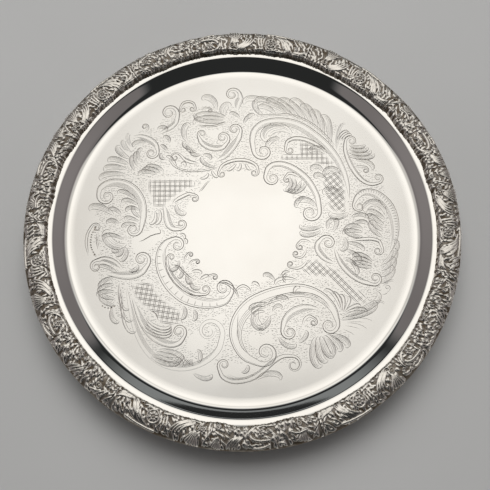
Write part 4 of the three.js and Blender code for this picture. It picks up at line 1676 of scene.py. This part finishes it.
@dataclass
class ScrollFoot:
    """A cast foot, and the patch that it is soldered through.

    It is made where it would stand on the salver's middle, with x outwards. Sizes are in
    millimetres above the table.
    """

    ring: float = 112.0  # radius of the circle that the feet stand on
    top: float = 18.4  # top of the flange
    flange: Pair = (8.5, 7.0)  # half axes of the oval flange, outwards and across
    patch: Pair = (8.8, 11.5)  # half axes of the patch
    patch_top: float = 19.7  # top of the patch
    patch_thick: float = 1.0  # thickness of the patch
    leg: float = 3.6  # half width of the leg at the knee
    # the leg's middle line, outwards and up
    spine: tuple = ((-5, 16.9), (2.5, 15.8), (5.4, 11.4), (4.6, 6.9), (6.2, 3.9), (10.0, 2.9))
    toe: Pair = (10.5, 3.45)  # middle of the scroll under the toe, outwards and up
    toe_radius: float = 3.8  # radius of that scroll
    lobes: int = 7  # lobes of the palmette on the knee
    count: int = 4  # how many feet there are

    @staticmethod
    def oval(axes: Pair, count: int, lobes: int = 0, depth: float = 0.0) -> Array:
        """Return an oval outline, with shallow lobes round it if that is asked for."""
        angle = angles(count)
        swell = 1 - depth * (1 - np.abs(np.cos(lobes * angle / 2)))
        return np.stack([axes[0] * np.cos(angle), axes[1] * np.sin(angle)], axis=1) * swell[:, None]

    def leg_shell(self) -> Shell:
        """Sweep the leg's section down its S.

        The section is a rounded bar. Its outer face carries a rib between two grooves, and
        narrow grooves run down both edges. It is thick at the knee and thin at the ankle.
        """
        spine = through(self.spine, 0.4)
        share = np.linspace(0, 1, len(spine))[:, None]
        ahead = np.gradient(spine, axis=0)
        ahead = ahead / np.hypot(*ahead.T)[:, None]
        outwards = np.stack([-ahead[:, 1], ahead[:, 0]], axis=1)
        angle = angles(48)[None, :]
        across = np.sign(np.cos(angle)) * np.abs(np.cos(angle)) ** 0.6
        proud = np.sign(np.sin(angle)) * np.abs(np.sin(angle)) ** 0.6
        groove = np.exp(-(((np.abs(across) - 0.55) / 0.16) ** 2)) * (proud > 0)
        rib = np.exp(-((across / 0.25) ** 2)) * (proud > 0)
        half = 1.5 + 1.4 * np.sin(math.pi * share) ** 2 * (1 - 0.6 * share)
        wide = self.leg * (1 - 0.22 * np.sin(math.pi * share**1.6) ** 2)
        lift = proud * half - groove * 0.45 + rib * 0.4
        x = spine[:, :1] + outwards[:, :1] * lift
        z = spine[:, 1:] + outwards[:, 1:] * lift
        y = across * wide
        return loft(np.stack([x, np.broadcast_to(y, x.shape), z], axis=2), groove + 0 * share)

    def toe_shell(self) -> Shell:
        """Lay the toe's scroll across the foot, with a spiral ridge on both its ends.

        On an end, the ridge stands where the angle plus a multiple of the logarithm of the
        radius is a whole number of turns. The scroll is worn flat where it meets the table.
        """
        angle = angles(72)[None, :]
        inside = np.concatenate([np.linspace(0.05, 0.94, 22), [1.0, 1.0, 1.0]])[:, None]
        phase = angle / TURN + np.log(inside) / math.log(0.45)
        ridge = 0.5 + 0.5 * np.cos(TURN * phase)
        fade = np.clip((0.97 - inside) / 0.1, 0, 1) * np.clip(inside / 0.2, 0, 1)
        end = self.leg + 0.8 - 0.55 * (1 - ridge) * fade - np.clip(inside - 0.94, 0, 1) * 5
        end = end * np.array([*[1.0] * 23, 0.72, 0.36])[:, None]
        waist = 0.1 * np.exp(-((end / self.leg - 0.36) ** 2) * 30) * (inside > 0.99)
        radius = self.toe_radius * (inside - waist)
        shape = np.broadcast_shapes(radius.shape, end.shape)
        radius, y = np.broadcast_to(radius, shape), np.broadcast_to(end, shape)
        mark = np.broadcast_to((1 - ridge) * fade, shape)
        radius = np.concatenate([radius, radius[::-1]])
        y = np.concatenate([y, -y[::-1]])
        mark = np.concatenate([mark, mark[::-1]])
        x = self.toe[0] + radius * np.cos(angle)
        z = np.maximum(self.toe[1] + radius * np.sin(angle), 0)
        return loft(np.stack([x, y, z], axis=2), mark)

    def palmette(self) -> Shell:
        """Spread a palmette over the knee.

        It is a fan about its foot. Each lobe swells along its length and across, as the square
        root of a sine, ends in a round and has a groove between it and the next; the tips curl
        outwards.
        """
        turn = np.linspace(-1, 1, self.lobes * 14 + 1)[:, None]
        lobe = np.abs(np.sin(math.pi * self.lobes * (turn + 1) / 2))
        reach = 13.2 + 1.5 * lobe**0.6 - 1.6 * np.abs(turn) ** 2
        along = np.concatenate([np.linspace(0.08, 1, 20), np.linspace(0.97, 0.08, 6)])[None, :]
        front = np.concatenate([np.ones(20), np.zeros(6)])[None, :]
        swell = np.sin(math.pi * np.clip(along, 0, 1) ** 1.5) ** 0.5
        vein = np.exp(-(((lobe - 1) / 0.06) ** 2)) * 0.25
        proud = front * (0.35 + swell * (0.5 + 1.15 * np.sqrt(lobe) - vein)) - 0.6 * (1 - front)
        angle = turn * math.radians(34)
        y = reach * along * np.sin(angle)
        up = reach * along * np.cos(angle)
        curl = 0.9 * along**3 + 0.1 * up
        x = 6.7 + proud + curl - 0.07 * y * y * 0.35
        z = 3.6 + up
        mark = (1 - np.sqrt(lobe)) * front * np.minimum(1, 2 * swell)
        return loft(np.stack([x, y, np.broadcast_to(z, x.shape)], axis=2)[:, ::-1], mark[:, ::-1])

    def foot(self) -> Shell:
        """Return the whole foot on the salver's middle."""
        low = self.top - 1.6
        edge = [
            (0.02, low - 0.5), (0.5, low - 0.4), (0.8, low - 0.05), (0.9, low), (0.97, low + 0.15),
            (1.0, low + 0.5), (1.0, low + 0.9), (0.97, low + 1.3), (0.93, low + 1.5), (0.9, self.top),
            (0.02, self.top),
        ]
        flange = oval_plate(self.oval(self.flange, 96, 16, 0.06), edge)
        return flange.joined(self.leg_shell()).joined(self.toe_shell()).joined(self.palmette())

    def patch_shell(self) -> Shell:
        """Return the patch, with its edges rounded over."""
        low = self.patch_top - self.patch_thick
        section = [
            (0.02, low), (0.9, low), (0.96, low + 0.05), (0.99, low + 0.25), (1.0, low + 0.5),
            (0.99, low + 0.75), (0.96, low + 0.95), (0.9, low + 1.0), (0.02, low + 1.0),
        ]
        return oval_plate(self.oval(self.patch, 120, 4, 0.07), section)

    def build(self) -> None:
        """Make every foot and patch."""
        cast, plain = CAST.make(), DRAWN.make()
        for number in range(self.count):
            angle = math.radians(45 + number * 360 / self.count)
            for shell, name, finish, slot, node in (
                (self.foot(), "scroll_foot", cast, "antiqued_silver", "foot"),
                (self.patch_shell(), "foot_plate", plain, "plain_silver", "foot_patch"),
            ):
                made = shell.stood(self.ring, angle).piece(f"{name}_{number + 1}")
                finish_piece(made, finish, slot, f"{node}_{number + 1}")


@dataclass
class EdgeWire:
    """The wire that stiffens the sheet's edge, hidden under the border."""

    ring: float = 147.9  # radius of the wire's middle line, in millimetres
    height: float = 24.8  # height of that line above the table
    wire: float = 1.3  # radius of the wire

    def build(self) -> None:
        """Make the wire: a circle carried round a circle."""
        about = angles(16)
        radius = self.ring + self.wire * np.cos(about)
        points = round_axis(radius, angles(360)[:, None], self.height + self.wire * np.sin(about))
        walls = grid_faces(*points.shape[:2], wrap_rows=True)[:, ::-1]
        made = Shell(points.reshape(-1, 3), [walls], [True]).piece("rim_wire")
        finish_piece(made, DRAWN.make(), "plain_silver", "edge_wire")


# ---- The studio ----


@dataclass
class Studio:
    """Camera, floor and light."""

    radius: float  # the salver's outer radius in metres
    field_height: float  # height of the field in metres
    lens: float = 47.0  # focal length in millimetres on a 36 mm sensor

    def camera(self) -> None:
        """Stand the camera in front of the salver, looking steeply down."""
        data = bpy.data.cameras.new("camera")
        data.lens = self.lens
        data.sensor_width = 36.0
        made = add_object("camera", data)
        place = Vector((0, -0.930 * self.radius, 2.852 * self.radius + self.field_height))
        aim = Vector((0.011 * self.radius, -0.090 * self.radius, self.field_height))
        made.location = place
        made.rotation_euler = (aim - place).to_track_quat("-Z", "Y").to_euler()
        bpy.context.scene.camera = made

    def floor(self) -> None:
        """Lay a plain pale floor."""
        half = 3.0
        corners = [(-half, -half, 0), (half, -half, 0), (half, half, 0), (-half, half, 0)]
        mesh = bpy.data.meshes.new("floor")
        mesh.from_pydata(corners, [], [(0, 1, 2, 3)])
        made = add_object("floor", mesh)
        material = bpy.data.materials.new("pale_floor")
        graph = Graph(material)
        cloud = graph.noise(3.0).ramp(0.2, 0.8)
        colour = graph.blend(cloud, (0.60, 0.60, 0.59), (0.64, 0.64, 0.63))
        shader = graph.add("ShaderNodeBsdfPrincipled", {}, {"Base Color": colour, "Roughness": 0.9})
        graph.add("ShaderNodeOutputMaterial", {}, {"Surface": shader})
        mesh.materials.append(material)

    def sky(self) -> None:
        """Surround the scene with a dim room and one large soft box overhead."""
        world = bpy.data.worlds.new("studio")
        bpy.context.scene.world = world
        graph = Graph(world)
        way = graph.add("ShaderNodeTexCoord", {}, {}).other("Generated")
        parts = graph.add("ShaderNodeSeparateXYZ", {}, {0: way})
        x, y, z = (parts.other(i) for i in range(3))
        degrees = 180 / math.pi
        lean_y = y.math("ARCTAN2", z) * degrees
        lean_x = x.math("ARCTAN2", z) * degrees
        wide = lean_x.math("ABSOLUTE")
        box = lean_y.ramp(-2.5, 4.5) * lean_y.ramp(66.0, 50.0) * wide.ramp(50.0, 30.0)
        off = ((lean_x - 1.0) * (lean_x - 1.0) + (lean_y - 18.5) * (lean_y - 18.5)).math("SQRT")
        dimmer = 1.0 - off.ramp(4.0, 24.0) * 0.46 + lean_y.ramp(30.0, 46.0) * 0.35
        beside = x.math("ABSOLUTE").ramp(0.54, 0.62)
        walls = beside * 0.13 + x.math("ABSOLUTE").ramp(0.7, 1.0) * 0.06
        strip = y.ramp(0.8, 0.93) * z.ramp(0.07, 0.08) * z.ramp(0.17, 0.16) * 0.2
        front = y.ramp(-0.55, -0.75) * z.ramp(0.55, 0.45) * z.ramp(0.1, 0.2) * 0.09
        room = walls + strip + front + 0.022
        light = box * dimmer * 1.02 + room
        dim = graph.blend(beside, (0.90, 0.96, 1.0), (1.06, 0.99, 1.02))
        colour = graph.blend(box, dim, (1.0, 0.985, 0.965))
        shader = graph.add("ShaderNodeBackground", {}, {"Color": colour, "Strength": light})
        graph.add("ShaderNodeOutputWorld", {}, {"Surface": shader})

    def lamp(self) -> None:
        """Hang a soft lamp that lights the floor and casts the salver's shadow."""
        data = bpy.data.lights.new("overhead_lamp", "AREA")
        data.shape = "RECTANGLE"
        data.size = 1.0
        data.size_y = 0.8
        data.energy = 9.0
        made = add_object("overhead_lamp", data)
        place = Vector((0, 0.55, 1.3))
        made.location = place
        made.rotation_euler = (-place).to_track_quat("-Z", "Y").to_euler()
        made.visible_glossy = False

    def build(self) -> None:
        """Set the studio up."""
        bpy.context.scene.view_settings.view_transform = "Standard"
        self.camera()
        self.floor()
        self.sky()
        self.lamp()


# ---- The whole salver ----


def main() -> None:
    """Build every piece in order."""
    logging.basicConfig(level=logging.INFO, format="%(name)s: %(message)s")
    plate = Plate()
    plate.build()
    Border(field_top=plate.field_top).build()
    EdgeWire().build()
    ScrollFoot().build()
    Studio(radius=0.1524, field_height=plate.field_top * MM).build()


if __name__ == "__main__":
    main()
